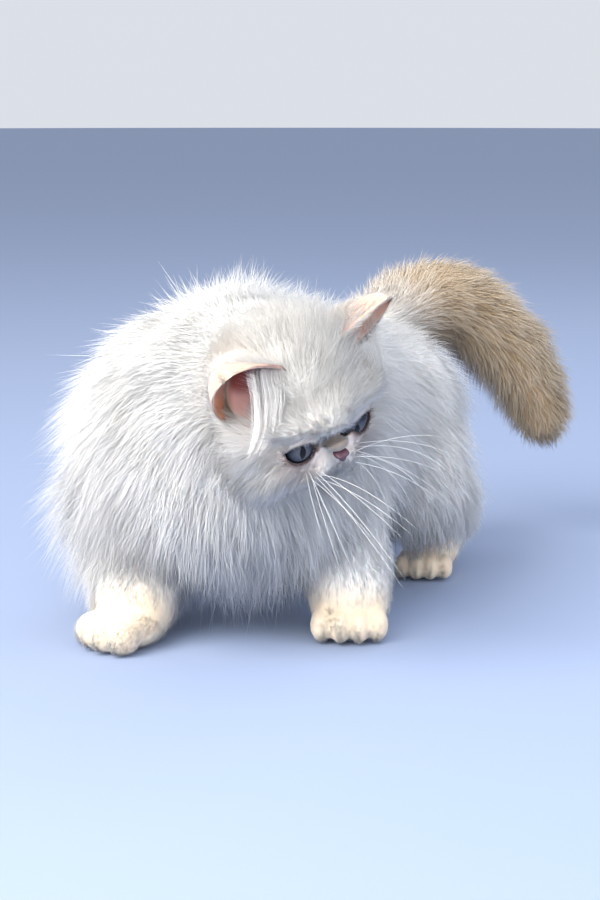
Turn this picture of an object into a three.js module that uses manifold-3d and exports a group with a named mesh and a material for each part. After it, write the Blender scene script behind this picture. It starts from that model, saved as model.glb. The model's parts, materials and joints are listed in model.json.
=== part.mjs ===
// A Persian kitten, about three months old, as a still, life-size model.
// It stands low on four paws with its head lowered, turned and tilted to its left, and its tail arched over.
// Millimetres. X is the kitten's left, Y runs from its chest to its tail, Z is up, and the soles are at Z = 0.
import * as THREE from "three";
import { mergeVertices } from "three/addons/utils/BufferGeometryUtils.js";
import Module from "manifold-3d";

const wasm = await Module();
wasm.setup();

const GAP = 0.3; // between nodes that touch
const v3 = (x, y, z) => new THREE.Vector3(x, y, z);

// Driving sizes. Each station of a limb: its centre, half width and half height of flesh, depth of coat
const TORSO = [
  [v3(-8, -14, 80), 24, 25, 24],
  [v3(-11, 18, 86), 36, 37, 36],
  [v3(-9, 62, 85), 37, 38, 33],
  [v3(-4, 110, 82), 34, 36, 24],
  [v3(1, 152, 80), 31, 33, 20],
  [v3(3, 184, 84), 22, 24, 20],
];
const NECK = [
  [v3(-10, 12, 98), v3(28, 24, 26), 34],
  [v3(4, -6, 110), v3(25, 22, 24), 24],
  [v3(18, -18, 118), v3(22, 20, 22), 12],
];
const HEAD_CENTRE = v3(36, -30, 111);
const HEAD_FORWARD = v3(0.809, -0.334, -0.482);
const HEAD_UP = v3(0.288, -0.488, 0.823);

// The head's own frame: x forward, y to its left, z up. Centre, radii of flesh, depth of coat
const SKULL = [
  [v3(-3, 0, 5), v3(26, 24, 25), 6],
  [v3(5, 13, -11), v3(15, 12, 14), 4],
  [v3(5, -13, -11), v3(15, 12, 14), 4],
  [v3(13, 10, 8), v3(8, 12, 8), 3.5],
  [v3(13, -10, 8), v3(8, 12, 8), 3.5],
  [v3(21, 6, -12), v3(8, 8, 7), 2.5],
  [v3(21, -6, -12), v3(8, 8, 7), 2.5],
  [v3(16, 0, -19), v3(8, 9, 6), 3],
];
const EYE = { centre: v3(17.3, 14, -0.5), radius: 8.8, toe_out: 0.25 };
const NOSE = { centre: v3(30.5, 0, -3), width: 9.5, height: 6.5, depth: 6 };
const NOSTRIL = v3(1.6, 1.3, 0.9);
const MOUTH = {
  line: [v3(14, 15, -17), v3(26, 8, -19.5), v3(30, 2.5, -18), v3(30, -2.5, -18), v3(26, -8, -19.5), v3(14, -15, -17)],
  parting: [v3(33, 0, -6), v3(31, 0, -12), v3(30, 0, -18)], // down from the nose
  lip: [v3(14, 13, -20), v3(25, 7, -23.5), v3(28, 0, -22.5), v3(25, -7, -23.5), v3(14, -13, -20)],
  groove: 1.1,
  bead: 1.5,
};
const EAR = {
  inner: v3(7, 14, 31), // foot of the margin nearer the crown
  outer: v3(-7, 28, -2), // foot of the margin nearer the cheek
  back: v3(-26, 26, 22), // pulls the wall back between them
  tip: v3(5, 46, 38),
  thick: 2,
  bowl: v3(1, 27, 17), // hollow in the head before the ear
  bowl_size: v3(9, 9, 14),
};
// Long hairs from an ear's front margin across its opening to the cheek: first and last of a fan
const FURNISHING = {
  count: 3,
  start: [v3(9, 12, 23), v3(13, 19, 10)],
  over: [v3(12, 40, 16), v3(9, 37, -2)],
  end: [v3(-2, 36, -8), v3(4, 31, -18)],
  width: 11,
  thick: 2.5,
};

// Each leg: the balls of its upper part, the stations below them, the middle and heading of its paw
const FRONT_LEGS = {
  right: {
    upper: [
      [v3(-36, 22, 80), v3(20, 22, 26), 38],
      [v3(-50, 28, 54), v3(15, 16, 16), 34],
    ],
    lower: [[v3(-50, 24, 50), 14, 14, 5], [v3(-47, 6, 28), 11.5, 11.5, 12], [v3(-44, -8, 12), 11, 11, 6]],
    paw: v3(-44, -18, 0),
    toes: v3(-0.5, -0.87, 0),
  },
  left: {
    upper: [
      [v3(16, 26, 80), v3(18, 22, 24), 22],
      [v3(30, 42, 54), v3(14, 15, 15), 15],
    ],
    lower: [[v3(30, 44, 50), 12, 12, 4], [v3(36, 40, 28), 12, 12, 8], [v3(39, 34, 12), 11.5, 11.5, 6]],
    paw: v3(40, 30, 0),
    toes: v3(0.36, -0.93, 0),
  },
};
const HIND_LEGS = {
  right: {
    upper: [
      [v3(-20, 158, 76), v3(18, 26, 26), 16],
      [v3(-40, 136, 50), v3(16, 18, 17), 12],
    ],
    shank: [[v3(-40, 138, 46), 14, 14, 3], [v3(-40, 160, 36), 11, 11, 10], [v3(-40, 176, 28), 8, 8, 9]],
    lower: [[v3(-40, 178, 30), 8, 8, 8], [v3(-39, 170, 18), 8, 8, 6], [v3(-38, 160, 11), 9, 9, 5]],
    paw: v3(-38, 152, 0),
    toes: v3(-0.2, -0.98, 0),
  },
  left: {
    upper: [
      [v3(24, 158, 76), v3(18, 26, 26), 16],
      [v3(42, 136, 50), v3(16, 18, 17), 12],
    ],
    shank: [[v3(42, 138, 46), 14, 14, 3], [v3(41, 160, 36), 11, 11, 10], [v3(40, 176, 28), 8, 8, 9]],
    lower: [[v3(40, 178, 30), 8, 8, 8], [v3(39, 170, 18), 8, 8, 6], [v3(38, 160, 11), 9, 9, 5]],
    paw: v3(38, 150, 0),
    toes: v3(0.25, -0.97, 0),
  },
};
const TAIL = [
  [v3(-1, 176, 98), 9, 9, 13],
  [v3(4, 200, 117), 7.5, 7.5, 16],
  [v3(26, 222, 127), 7, 7, 19],
  [v3(50, 235, 110), 6, 6, 19],
  [v3(64, 241, 88), 5, 5, 16],
  [v3(73, 244, 64), 4, 4, 11],
];

// Solids from geometries, and back
function solid(geometry) {
  const bare = geometry.index ? geometry.toNonIndexed() : geometry.clone();
  bare.deleteAttribute("normal");
  bare.deleteAttribute("uv");
  const merged = mergeVertices(bare, 1e-4);
  const corners = merged.index.array;
  const faces = [];
  for (let i = 0; i < corners.length; i += 3) {
    const [a, b, c] = corners.slice(i, i + 3);
    if (a !== b && b !== c && c !== a) faces.push(a, b, c);
  }
  return new wasm.Manifold(
    new wasm.Mesh({
      numProp: 3,
      vertProperties: merged.attributes.position.array,
      triVerts: new Uint32Array(faces),
    }),
  );
}

function geometryOf(body) {
  const mesh = body.getMesh();
  return new THREE.BufferGeometry()
    .setAttribute("position", new THREE.BufferAttribute(mesh.vertProperties, 3))
    .setIndex(new THREE.BufferAttribute(mesh.triVerts, 1));
}

function largest(body) {
  const pieces = body.decompose();
  return pieces.sort((a, b) => b.volume() - a.volume())[0];
}

// The largest closed surface of a body once corners a hair apart are one
const GRAIN = 0.0012;
function settled(body) {
  let rest = largest(body);
  for (let pass = 0; pass < 3; pass++) {
    const geometry = geometryOf(rest);
    const at = geometry.attributes.position.array;
    at.forEach((value, i) => {
      at[i] = Math.round(value / GRAIN) * GRAIN;
    });
    rest = largest(solid(geometry));
  }
  return rest;
}

const joined = (pieces) => pieces.reduce((sum, piece) => sum.add(piece));
const without = (body, cutters) => cutters.reduce((rest, cutter) => rest.subtract(cutter), body);

// A unit sphere with its poles on Z, each vertex moved by place(direction)
function moulded(around, along, place) {
  const sphere = new THREE.SphereGeometry(1, around, along).rotateX(Math.PI / 2);
  const at = sphere.attributes.position;
  const direction = v3(0, 0, 0);
  for (let i = 0; i < at.count; i++) {
    direction.fromBufferAttribute(at, i).normalize();
    const point = place(direction);
    at.setXYZ(i, point.x, point.y, point.z);
  }
  return sphere;
}

// How far a ray from the origin reaches in a soft blend of ellipsoids
const BLEND = 14;
function reach(direction, balls, share, grow) {
  let sum = 0;
  for (const [centre, radii, coat = 0] of balls) {
    const r = radii.clone().addScalar(coat * share + grow);
    const d = direction.clone().divide(r);
    const c = centre.clone().divide(r);
    const a = d.lengthSq();
    const b = d.dot(c);
    const gap = b * b - a * (c.lengthSq() - 1);
    const out = gap > 0 ? (b + Math.sqrt(gap)) / a : (b / a) * Math.exp(4 * gap);
    sum += Math.max(out, 0) ** BLEND;
  }
  return sum ** (1 / BLEND);
}

// A surface is asked for the point at v from its start to its end and at an angle from its top to its left,
// for a share of the coat's depth. A lump is star-shaped about its middle, with its poles on an axis
class Lump {
  constructor(balls, middle, axis, across, place = new THREE.Matrix4()) {
    this.balls = balls.map(([centre, radii, coat]) => [centre.clone().sub(middle), radii, coat]);
    this.middle = middle;
    this.along = axis.clone().normalize();
    this.side = across.clone().addScaledVector(this.along, -across.dot(this.along)).normalize();
    this.up = this.side.clone().cross(this.along);
    this.place = place;
  }

  point(v, angle, share, grow) {
    const ring = Math.sin(v * Math.PI);
    const direction = this.along.clone().multiplyScalar(-Math.cos(v * Math.PI));
    direction.addScaledVector(this.side, ring * Math.sin(angle));
    direction.addScaledVector(this.up, ring * Math.cos(angle));
    const far = reach(direction, this.balls, share, grow);
    return direction.multiplyScalar(far).add(this.middle).applyMatrix4(this.place);
  }

  body(share, grow, around, along) {
    const shape = (d) => this.point(Math.acos(Math.max(-1, -d.z)) / Math.PI, Math.atan2(-d.x, d.y), share, grow);
    return solid(moulded(around, along, shape));
  }
}

// A limb follows a smooth curve: rings of a half width, a half height and a coat, with round ends
class Limb {
  constructor(stations, across, endRound = 0.14) {
    this.curve = new THREE.CatmullRomCurve3(stations.map((s) => s[0]));
    this.stations = stations;
    this.across = across;
    this.endRound = endRound;
    this.length = this.curve.getLength();
  }

  size(v, which) {
    const last = this.stations.length - 1;
    const at = Math.min(Math.max(v, 0), 1) * last;
    const i = Math.min(Math.floor(at), last - 1);
    const t = at - i;
    const smooth = t * t * (3 - 2 * t);
    return this.stations[i][which] * (1 - smooth) + this.stations[i + 1][which] * smooth;
  }

  taper(v) {
    const end = Math.min(v, 1 - v) / this.endRound;
    return end >= 1 ? 1 : Math.sqrt(Math.max(0, 1 - (1 - end) ** 2));
  }

  // A loose point, of a lock, runs on a little past the round ends
  point(far, angle, share, grow, loose = true) {
    const v = Math.min(Math.max(far, 0), 1);
    const along = this.curve.getTangent(v);
    const side = this.across.clone().addScaledVector(along, -this.across.dot(along)).normalize();
    const up = side.clone().cross(along).normalize();
    const t = loose ? 0.5 + 0.5 * this.taper(v) : this.taper(v);
    const coat = this.size(v, 3) * share + grow;
    const end = loose ? (far - v) * this.length * 0.5 : (v < 0.5 ? -1 : 1) * (1 - t) * coat;
    return this.curve
      .getPoint(v)
      .addScaledVector(side, Math.sin(angle) * (this.size(v, 1) + coat) * t)
      .addScaledVector(up, Math.cos(angle) * (this.size(v, 2) + coat) * t)
      .addScaledVector(along, end);
  }

  body(share, grow, around, along) {
    const shape = (d) => {
      const turn = Math.acos(Math.min(1, Math.max(-1, -d.z)));
      const v = 0.35 * (turn / Math.PI) + 0.65 * (0.5 - 0.5 * Math.cos(turn));
      return this.point(v, Math.atan2(-d.x, d.y), share, grow, false);
    };
    return solid(moulded(around, along, shape));
  }
}

// A lock of coat: a flat taper with a ridge, along a path. It lies flat to its out, and doesn't twist
const LOCK_SIDES = 3;
const LOCK_ROWS = 3;
function lock(path, width, thick, grow) {
  const cone = new THREE.ConeGeometry(1, 1, LOCK_SIDES, LOCK_ROWS);
  const at = cone.attributes.position;
  const ahead = (t) => path.at(Math.min(t + 0.02, 1)).sub(path.at(Math.min(t, 0.98) - 0.02)).normalize();
  const side = ahead(0.5).cross(path.out).normalize();
  for (let i = 0; i < at.count; i++) {
    const t = at.getY(i) + 0.5;
    const lift = side.clone().cross(ahead(t)).normalize();
    const spread = Math.hypot(at.getX(i), at.getZ(i));
    const x = spread ? at.getX(i) / spread : 0;
    const z = spread ? at.getZ(i) / spread : 0;
    const wide = (1 - t ** 3) * (0.55 + 0.7 * Math.sin(Math.PI * t)) * (width / 2) + 9 * grow;
    const deep = (1 - 0.75 * t) * (thick / 2) + 2 * grow;
    const point = path.at(t);
    point.addScaledVector(side, x * wide);
    point.addScaledVector(lift, z * deep);
    point.addScaledVector(ahead(t), (t === 1 ? 3 : 0) * grow);
    at.setXYZ(i, point.x, point.y, point.z);
  }
  return solid(cone);
}

// The change of v and angle that carries a lock a length along the lie
function laid(coat, v, angle, share, lie, length) {
  const step = 0.01;
  const here = coat.point(v, angle, share, 0);
  const byV = coat.point(v + step, angle, share, 0).sub(here).divideScalar(step);
  const byAngle = coat.point(v, angle + step, share, 0).sub(here).divideScalar(step);
  const cross = byV.dot(byAngle);
  const whole = byV.lengthSq() * byAngle.lengthSq() - cross * cross;
  const dv = (byAngle.lengthSq() * byV.dot(lie) - cross * byAngle.dot(lie)) / whole;
  const da = (byV.lengthSq() * byAngle.dot(lie) - cross * byV.dot(lie)) / whole;
  const run = byV.multiplyScalar(dv).addScaledVector(byAngle, da).length();
  return [(dv * length) / run, (da * length) / run];
}

// Locks in staggered rows over part of a surface, from inside its core out to the coat's tips
const CORE = 0.5;
const ROOT = 0.2;
function rows(coat, plan) {
  let seed = plan.seed;
  const vary = (amount) => {
    seed = (seed * 16807) % 2147483647;
    return 1 + amount * ((2 * seed) / 2147483647 - 1);
  };
  const found = [];
  for (let row = 0; row < plan.rows; row++) {
    const across = plan.across[row % plan.across.length];
    for (let i = 0; i < across; i++) {
      const share = (i + 0.5 + 0.5 * (row % 2) - 0.25) / across;
      const v = plan.from + ((row + 0.3 * (vary(1) - 1)) / Math.max(1, plan.rows - 1)) * (plan.to - plan.from);
      const angle = plan.arc[0] + (share + ((vary(1) - 1) * 0.15) / across) * (plan.arc[1] - plan.arc[0]);
      const length = plan.length * vary(0.2);
      const tip = plan.tip * vary(0.1);
      const lie = plan.lie(v, angle).clone();
      lie.x += 0.12 * (vary(1) - 1);
      lie.y += 0.12 * (vary(1) - 1);
      const [dv, da] = laid(coat, v, angle, CORE, lie, length);
      const rise = (t) => ROOT + (tip - ROOT) * (Math.sin(plan.bend * t) / Math.sin(plan.bend));
      const route = (t, share) => coat.point(v + dv * t, angle + da * t, share, 0);
      const path = { at: (t) => route(t, rise(t)), out: route(0.5, 1).sub(route(0.5, 0)).normalize() };
      const width = plan.width * vary(0.15);
      found.push((grow) => lock(path, width, plan.thick, grow));
    }
  }
  return found;
}

const flat = new THREE.BoxGeometry(1000, 1000, 100).translate(0, 0, -50);
const FLOOR = solid(flat);

// The head's frame in the kitten's
const headLeft = HEAD_UP.clone().cross(HEAD_FORWARD).normalize();
const headUp = HEAD_FORWARD.clone().cross(headLeft).normalize();
const headPlace = new THREE.Matrix4()
  .makeBasis(HEAD_FORWARD.clone().normalize(), headLeft, headUp)
  .setPosition(HEAD_CENTRE);

const ORIGIN = v3(0, 0, 0);
const headCoat = new Lump(SKULL, ORIGIN, v3(-1, 0, 0), v3(0, 1, 0), headPlace);

function eyePlace(side) {
  const turn = new THREE.Matrix4().makeRotationZ(side * EYE.toe_out);
  turn.setPosition(EYE.centre.x, side * EYE.centre.y, EYE.centre.z);
  return headPlace.clone().multiply(turn);
}

const eyeBall = (side, grow) =>
  solid(new THREE.SphereGeometry(EYE.radius + grow, 12, 9).applyMatrix4(eyePlace(side)));

function lidOpening(side) {
  const almond = new THREE.Shape();
  almond.moveTo(-7, 0);
  almond.quadraticCurveTo(0, 8, 7, 0);
  almond.quadraticCurveTo(0, -11, -7, 0);
  const prism = new THREE.ExtrudeGeometry(almond, { depth: 30, bevelEnabled: false, curveSegments: 4 });
  prism.applyMatrix4(new THREE.Matrix4().makeBasis(v3(0, 1, 0), v3(0, 0, 1), v3(1, 0, 0)));
  return solid(prism.applyMatrix4(eyePlace(side)));
}

// An ellipsoid in a frame
function ball(centre, radii, around, along, place) {
  const sphere = new THREE.SphereGeometry(1, around, along).scale(radii.x, radii.y, radii.z);
  return solid(sphere.translate(centre.x, centre.y, centre.z).applyMatrix4(place));
}

function nose(grow) {
  const half = v3(NOSE.depth, NOSE.width, NOSE.height).multiplyScalar(0.5).addScalar(grow);
  const leather = ball(NOSE.centre, half, 12, 8, headPlace);
  const nostrils = [-1, 1].map((side) => {
    const centre = NOSE.centre.clone().add(v3(NOSE.depth * 0.42, side * NOSE.width * 0.27, -NOSE.height * 0.1));
    return ball(centre, NOSTRIL, 6, 4, headPlace);
  });
  return grow ? leather : without(leather, nostrils);
}

// An ear: a cup whose foot is an arc on the head and whose rim closes on a round tip
function ear(side, grow) {
  const sheet = new THREE.BoxGeometry(1, 1, 1, 8, 5, 1);
  const at = sheet.attributes.position;
  const foot = new THREE.QuadraticBezierCurve3(EAR.inner, EAR.back, EAR.outer);
  const middle = EAR.inner.clone().add(EAR.outer).multiplyScalar(0.5);
  const rise = EAR.tip.clone().sub(middle);
  for (let i = 0; i < at.count; i++) {
    const s = at.getX(i) + 0.5;
    const t = at.getY(i) + 0.5;
    const skin = at.getZ(i) * (EAR.thick + 2 * grow);
    const wide = Math.sqrt(Math.max(0.03, 1 - t ** 2.2));
    const wall = foot.getTangent(s).cross(rise).normalize();
    const point = foot
      .getPoint(s)
      .sub(middle)
      .multiplyScalar(wide)
      .addScaledVector(foot.getTangent(s), (s - 0.5) * 2 * grow)
      .addScaledVector(rise, t * 1.3 - 0.3)
      .add(middle)
      .addScaledVector(wall, skin);
    at.setXYZ(i, point.x, side * point.y, point.z);
  }
  if (side < 0) sheet.index.array.reverse();
  return solid(sheet.applyMatrix4(headPlace));
}

function earBowl(side) {
  const centre = EAR.bowl.clone().setY(side * EAR.bowl.y);
  const place = headPlace.clone().multiply(new THREE.Matrix4().setPosition(centre));
  return new Lump([[ORIGIN, EAR.bowl_size]], ORIGIN, v3(1, 0, 0), v3(0, 1, 0), place).body(0, 0, 10, 6);
}

// A paw: four toes in an arc before a low pad, on a flat sole
const PAW = { length: 40, width: 34, height: 21, coat: 2 };
const HIND_PAW = 0.84; // of a front paw
function paw(parts, size, grow) {
  const forward = parts.toes.clone().normalize();
  const left = v3(0, 0, 1).cross(forward);
  const place = new THREE.Matrix4().makeBasis(forward, left, v3(0, 0, 1)).scale(v3(size, size, size));
  place.setPosition(parts.paw.x, parts.paw.y, PAW.height * 0.42 * size);
  const skin = PAW.coat + grow / size;
  const toes = [-1.5, -0.5, 0.5, 1.5].map((n) => {
    const centre = v3(PAW.length * (0.27 - 0.035 * n * n), n * PAW.width * 0.24, -1);
    const radii = v3(PAW.length * 0.2, PAW.width * 0.15, PAW.height * 0.34).addScalar(skin);
    return ball(centre, radii, 7, 5, place);
  });
  const radii = v3(PAW.length * 0.36, PAW.width * 0.44, PAW.height * 0.5).addScalar(skin);
  const pad = ball(v3(-PAW.length * 0.08, 0, 1), radii, 10, 6, place);
  return joined([pad, ...toes]).subtract(FLOOR);
}

const DOWN = v3(0, 0, -1);
const LEFT = v3(1, 0, 0);
const torso = new Limb(TORSO, LEFT, 0.16);
const neck = new Lump(NECK, NECK[1][0], v3(-0.8, 0.55, -0.25), v3(0.55, 0.8, 0));
const tailBase = new Limb(TAIL.slice(0, 3), v3(-0.6, 0.8, 0), 0.25);
const tailTip = new Limb(TAIL.slice(2), v3(-0.6, 0.8, 0), 0.25);

// Shoulders and thighs lie under the body's coat. Below them a leg is straight lengths with short fur
const ALL_LEGS = [...Object.values(FRONT_LEGS), ...Object.values(HIND_LEGS)];
const uppers = ALL_LEGS.map(({ upper }) => {
  return new Lump(upper, upper[0][0].clone().lerp(upper[1][0], 0.45), DOWN, LEFT);
});

function leg(parts, grow) {
  const lengths = [parts.shank, parts.lower].filter(Boolean);
  return joined(lengths.map((stations) => new Limb(stations, LEFT, 0.2).body(0.9, grow, 10, 7)));
}

// Locks that stay mostly outside other solids
const CLEAR = 0.8;
function clear(locks, solids) {
  return locks.filter((one) => {
    const whole = one(0);
    return without(whole, solids).volume() > CLEAR * whole.volume();
  });
}

// Each node's body with its locks, cut clear of the earlier ones that touch it and of a core it lies on
const nodes = [];
const kept = {};
function node(name, colour, roughness, shape, clearOf = [], coat = [], core = null) {
  const cutters = clearOf.map((other) => kept[other]);
  const locks = clear(coat, [...cutters, FLOOR]);
  const build = (grow) => joined([shape(grow), ...locks.map((one) => one(grow))]).subtract(FLOOR);
  const body = settled(without(build(0), core ? [...cutters, core(GAP)] : cutters));
  const around = build(GAP).add(body);
  kept[name] = core ? around.subtract(core(0)) : around;
  const material = new THREE.MeshStandardMaterial({ color: colour, roughness, metalness: 0 });
  const mesh = new THREE.Mesh(geometryOf(body), material);
  mesh.name = name;
  nodes.push(mesh);
}

const WHITE = "#efeeec";
const CREAM = "#e3cfb6";
const SIDES = { right: -1, left: 1 };
const ROUND = [-Math.PI, Math.PI];

for (const [side, sign] of Object.entries(SIDES)) {
  node(`eye_${side}`, "#8ea4c4", 0.08, (grow) => eyeBall(sign, grow));
}
node("nose", "#b0707a", 0.5, nose);

// A cord of four sides along points of the head's surface
const HEAD_COAT = 0.8; // of its depth, in the head's own solid
function faceCord(points, radius, steps, grow = 0) {
  const surface = points.map((point) => {
    const direction = point.clone().normalize();
    return direction.multiplyScalar(reach(direction, headCoat.balls, HEAD_COAT, 0)).applyMatrix4(headPlace);
  });
  const r = radius + grow;
  const corners = [[r, 0], [0, r], [-r, 0], [0, -r]].map(([x, y]) => new THREE.Vector2(x, y));
  const extrudePath = new THREE.CatmullRomCurve3(surface);
  return solid(new THREE.ExtrudeGeometry(new THREE.Shape(corners), { steps, bevelEnabled: false, extrudePath }));
}

function headShape(grow) {
  const lids = [-1, 1].map((sign) => eyeBall(sign, 1.4 + grow));
  const lowerLip = faceCord(MOUTH.lip, MOUTH.bead, 6, grow);
  const whole = joined([headCoat.body(HEAD_COAT, grow, 22, 16), ...lids, lowerLip]);
  const mouth = [faceCord(MOUTH.line, MOUTH.groove, 7), faceCord(MOUTH.parting, MOUTH.groove, 3)];
  const hollows = [-1, 1].flatMap((sign) => [lidOpening(sign), earBowl(sign)]);
  return grow ? whole : without(whole, [...hollows, ...mouth]);
}

function furnishings(side) {
  const outward = v3(0.3, side * 0.9, 0.2).transformDirection(headPlace);
  return Array.from({ length: FURNISHING.count }, (_, n) => {
    const share = n / (FURNISHING.count - 1);
    const bend = [FURNISHING.start, FURNISHING.over, FURNISHING.end].map(([first, last]) => {
      const point = first.clone().lerp(last, share);
      return point.setY(side * point.y).applyMatrix4(headPlace);
    });
    const curve = new THREE.QuadraticBezierCurve3(...bend);
    const path = { at: (t) => curve.getPoint(t), out: outward };
    return (grow) => lock(path, FURNISHING.width, FURNISHING.thick, grow);
  });
}

// Cheeks swept back from the nose
const headBack = HEAD_FORWARD.clone().negate();
const cheekLie = () => headBack.clone().addScaledVector(headUp, -0.5);
const cheek = { rows: 2, from: 0.42, to: 0.6, across: [2], lie: cheekLie, seed: 11 };
const cheekLock = { length: 20, width: 15, thick: 4, tip: 1.9, bend: 1.3 };
const headLocks = [
  ...rows(headCoat, { ...cheek, ...cheekLock, arc: [1.9, 3.0] }),
  ...rows(headCoat, { ...cheek, ...cheekLock, arc: [-1.9, -3.0] }),
  ...furnishings(-1),
  ...furnishings(1),
];
node("head", WHITE, 0.9, headShape, ["eye_right", "eye_left", "nose"], headLocks);
for (const [side, sign] of Object.entries(SIDES)) {
  node(`ear_${side}`, CREAM, 0.85, (grow) => ear(sign, grow), ["head"]);
}

for (const [side, parts] of Object.entries(FRONT_LEGS)) {
  node(`paw_front_${side}`, CREAM, 0.9, (grow) => paw(parts, 1, grow));
}
for (const [side, parts] of Object.entries(HIND_LEGS)) {
  node(`paw_hind_${side}`, CREAM, 0.9, (grow) => paw(parts, HIND_PAW, grow));
}

for (const [side, parts] of Object.entries(FRONT_LEGS)) {
  node(`leg_front_${side}`, WHITE, 0.9, (grow) => leg(parts, grow), [`paw_front_${side}`]);
}
for (const [side, parts] of Object.entries(HIND_LEGS)) {
  node(`leg_hind_${side}`, WHITE, 0.9, (grow) => leg(parts, grow), [`paw_hind_${side}`]);
}

// The body's core, with its shoulders and thighs
const torsoBody = (grow) => torso.body(CORE, grow, 12, 10);
const upperBody = (one, grow) => one.body(CORE, grow, 9, 6);
const torsoShape = (grow) => joined([torsoBody(grow), ...uppers.map((one) => upperBody(one, grow))]);

// The ruff spreads from the head, and hangs under it
const ruffLie = (v, angle) => {
  const out = neck.point(v, angle, CORE, 0).sub(HEAD_CENTRE).normalize();
  return out.addScaledVector(DOWN, 0.5);
};
const ruff = { rows: 3, from: 0.38, to: 0.7, across: [9, 10], arc: ROUND, lie: ruffLie, seed: 23 };
const ruffLocks = rows(neck, { ...ruff, length: 44, width: 28, thick: 5, tip: 1.12, bend: 1.4 });
const NECK_MEETS = ["head", "ear_right", "ear_left", "leg_front_right", "paw_front_right"];
node("neck", WHITE, 0.9, (grow) => neck.body(CORE, grow, 12, 8), NECK_MEETS, ruffLocks, torsoShape);

// The body's coat runs back along the spine, turns down over the flanks and hangs from the chest
const bodyLie = (v, angle) => {
  const back = Math.min(1, 0.25 + 3 * v) * (0.45 + 0.4 * Math.abs(Math.cos(angle)));
  return v3(0, back, -0.9 * Math.abs(Math.sin(angle)) - Math.max(0, 0.5 - 3 * v));
};
const trunk = { rows: 7, from: 0.12, to: 0.86, across: [10, 9], arc: ROUND, lie: bodyLie, seed: 41 };
const trunkLocks = rows(torso, { ...trunk, length: 54, width: 40, thick: 6, tip: 1.12, bend: 1.5 });
const bib = { rows: 2, from: 0.06, to: 0.2, across: [4, 3], arc: [2.2, 4.1], lie: () => DOWN, seed: 31 };
const bibLocks = rows(torso, { ...bib, length: 36, width: 26, thick: 5, tip: 1.05, bend: 1.2 });
const limbLie = () => v3(0, 0.3, -1);
const limbPlan = { rows: 2, from: 0.34, to: 0.64, lie: limbLie, thick: 5, tip: 1.03, bend: 1.4 };
const LIMB_LOCKS = [
  { rows: 3, across: [5, 4], arc: [-3.4, 0.3], length: 46, width: 34, seed: 67 },
  { across: [4, 3], arc: [-0.3, 3.2], length: 38, width: 28, seed: 71 },
  { across: [4, 3], arc: [-2.6, 0.4], length: 40, width: 32, seed: 83 },
  { across: [4, 3], arc: [-0.4, 2.6], length: 40, width: 32, seed: 97 },
];
const bodyLocks = [
  ...clear([...trunkLocks, ...bibLocks], uppers.map((one) => upperBody(one, 0))),
  ...uppers.flatMap((one, i) => clear(rows(one, { ...limbPlan, ...LIMB_LOCKS[i] }), [torsoBody(0)])),
];
const LEGS = ["leg_front_right", "leg_front_left", "leg_hind_right", "leg_hind_left"];
const TORSO_MEETS = ["head", "neck", "ear_right", "ear_left", "paw_front_right", "paw_front_left", ...LEGS];
node("torso", WHITE, 0.9, torsoShape, TORSO_MEETS, bodyLocks);

const TAIL_MEETS = ["torso", "leg_hind_right", "leg_hind_left"];
const plume = (limb) => (v, angle) => {
  const along = limb.curve.getTangent(Math.min(Math.max(v, 0), 1));
  return along.addScaledVector(DOWN, 0.2 * Math.abs(Math.sin(angle)));
};
const plumeLock = { length: 34, width: 22, thick: 4.5, tip: 1.1, bend: 1.3, arc: ROUND };
const basePlume = rows(tailBase, { ...plumeLock, rows: 2, from: 0.38, to: 0.78, across: [5], lie: plume(tailBase), seed: 7 });
const tipPlume = rows(tailTip, { ...plumeLock, rows: 4, from: 0.1, to: 0.76, across: [4], lie: plume(tailTip), seed: 9 });
node("tail_base", CREAM, 0.9, (grow) => tailBase.body(CORE, grow, 8, 6), TAIL_MEETS, basePlume);
node("tail_tip", CREAM, 0.9, (grow) => tailTip.body(CORE, grow, 8, 7), [...TAIL_MEETS, "tail_base"], tipPlume);

// The origin goes to the middle of the whole model's box, on the floor
const kitten = new THREE.Group();
kitten.add(...nodes);
const middle = new THREE.Box3().setFromObject(kitten).getCenter(v3(0, 0, 0));
kitten.position.set(-middle.x, -middle.y, 0);

export default kitten;
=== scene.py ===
# %% [markdown]
# # A Persian kitten in its long coat
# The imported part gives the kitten's flesh and broad locks at real size. This lesson dresses it: one skin
# over the whole body, a coat of many thin tufts that lie the way a kitten's coat lies, wet eyes, a leather
# nose and long whiskers. Lengths are written in millimetres and turned to metres once, where a mesh is made.

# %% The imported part
import json
import math

import bpy
import numpy as np
import openvdb
from mathutils import Matrix, Vector
from mathutils.kdtree import KDTree

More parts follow.
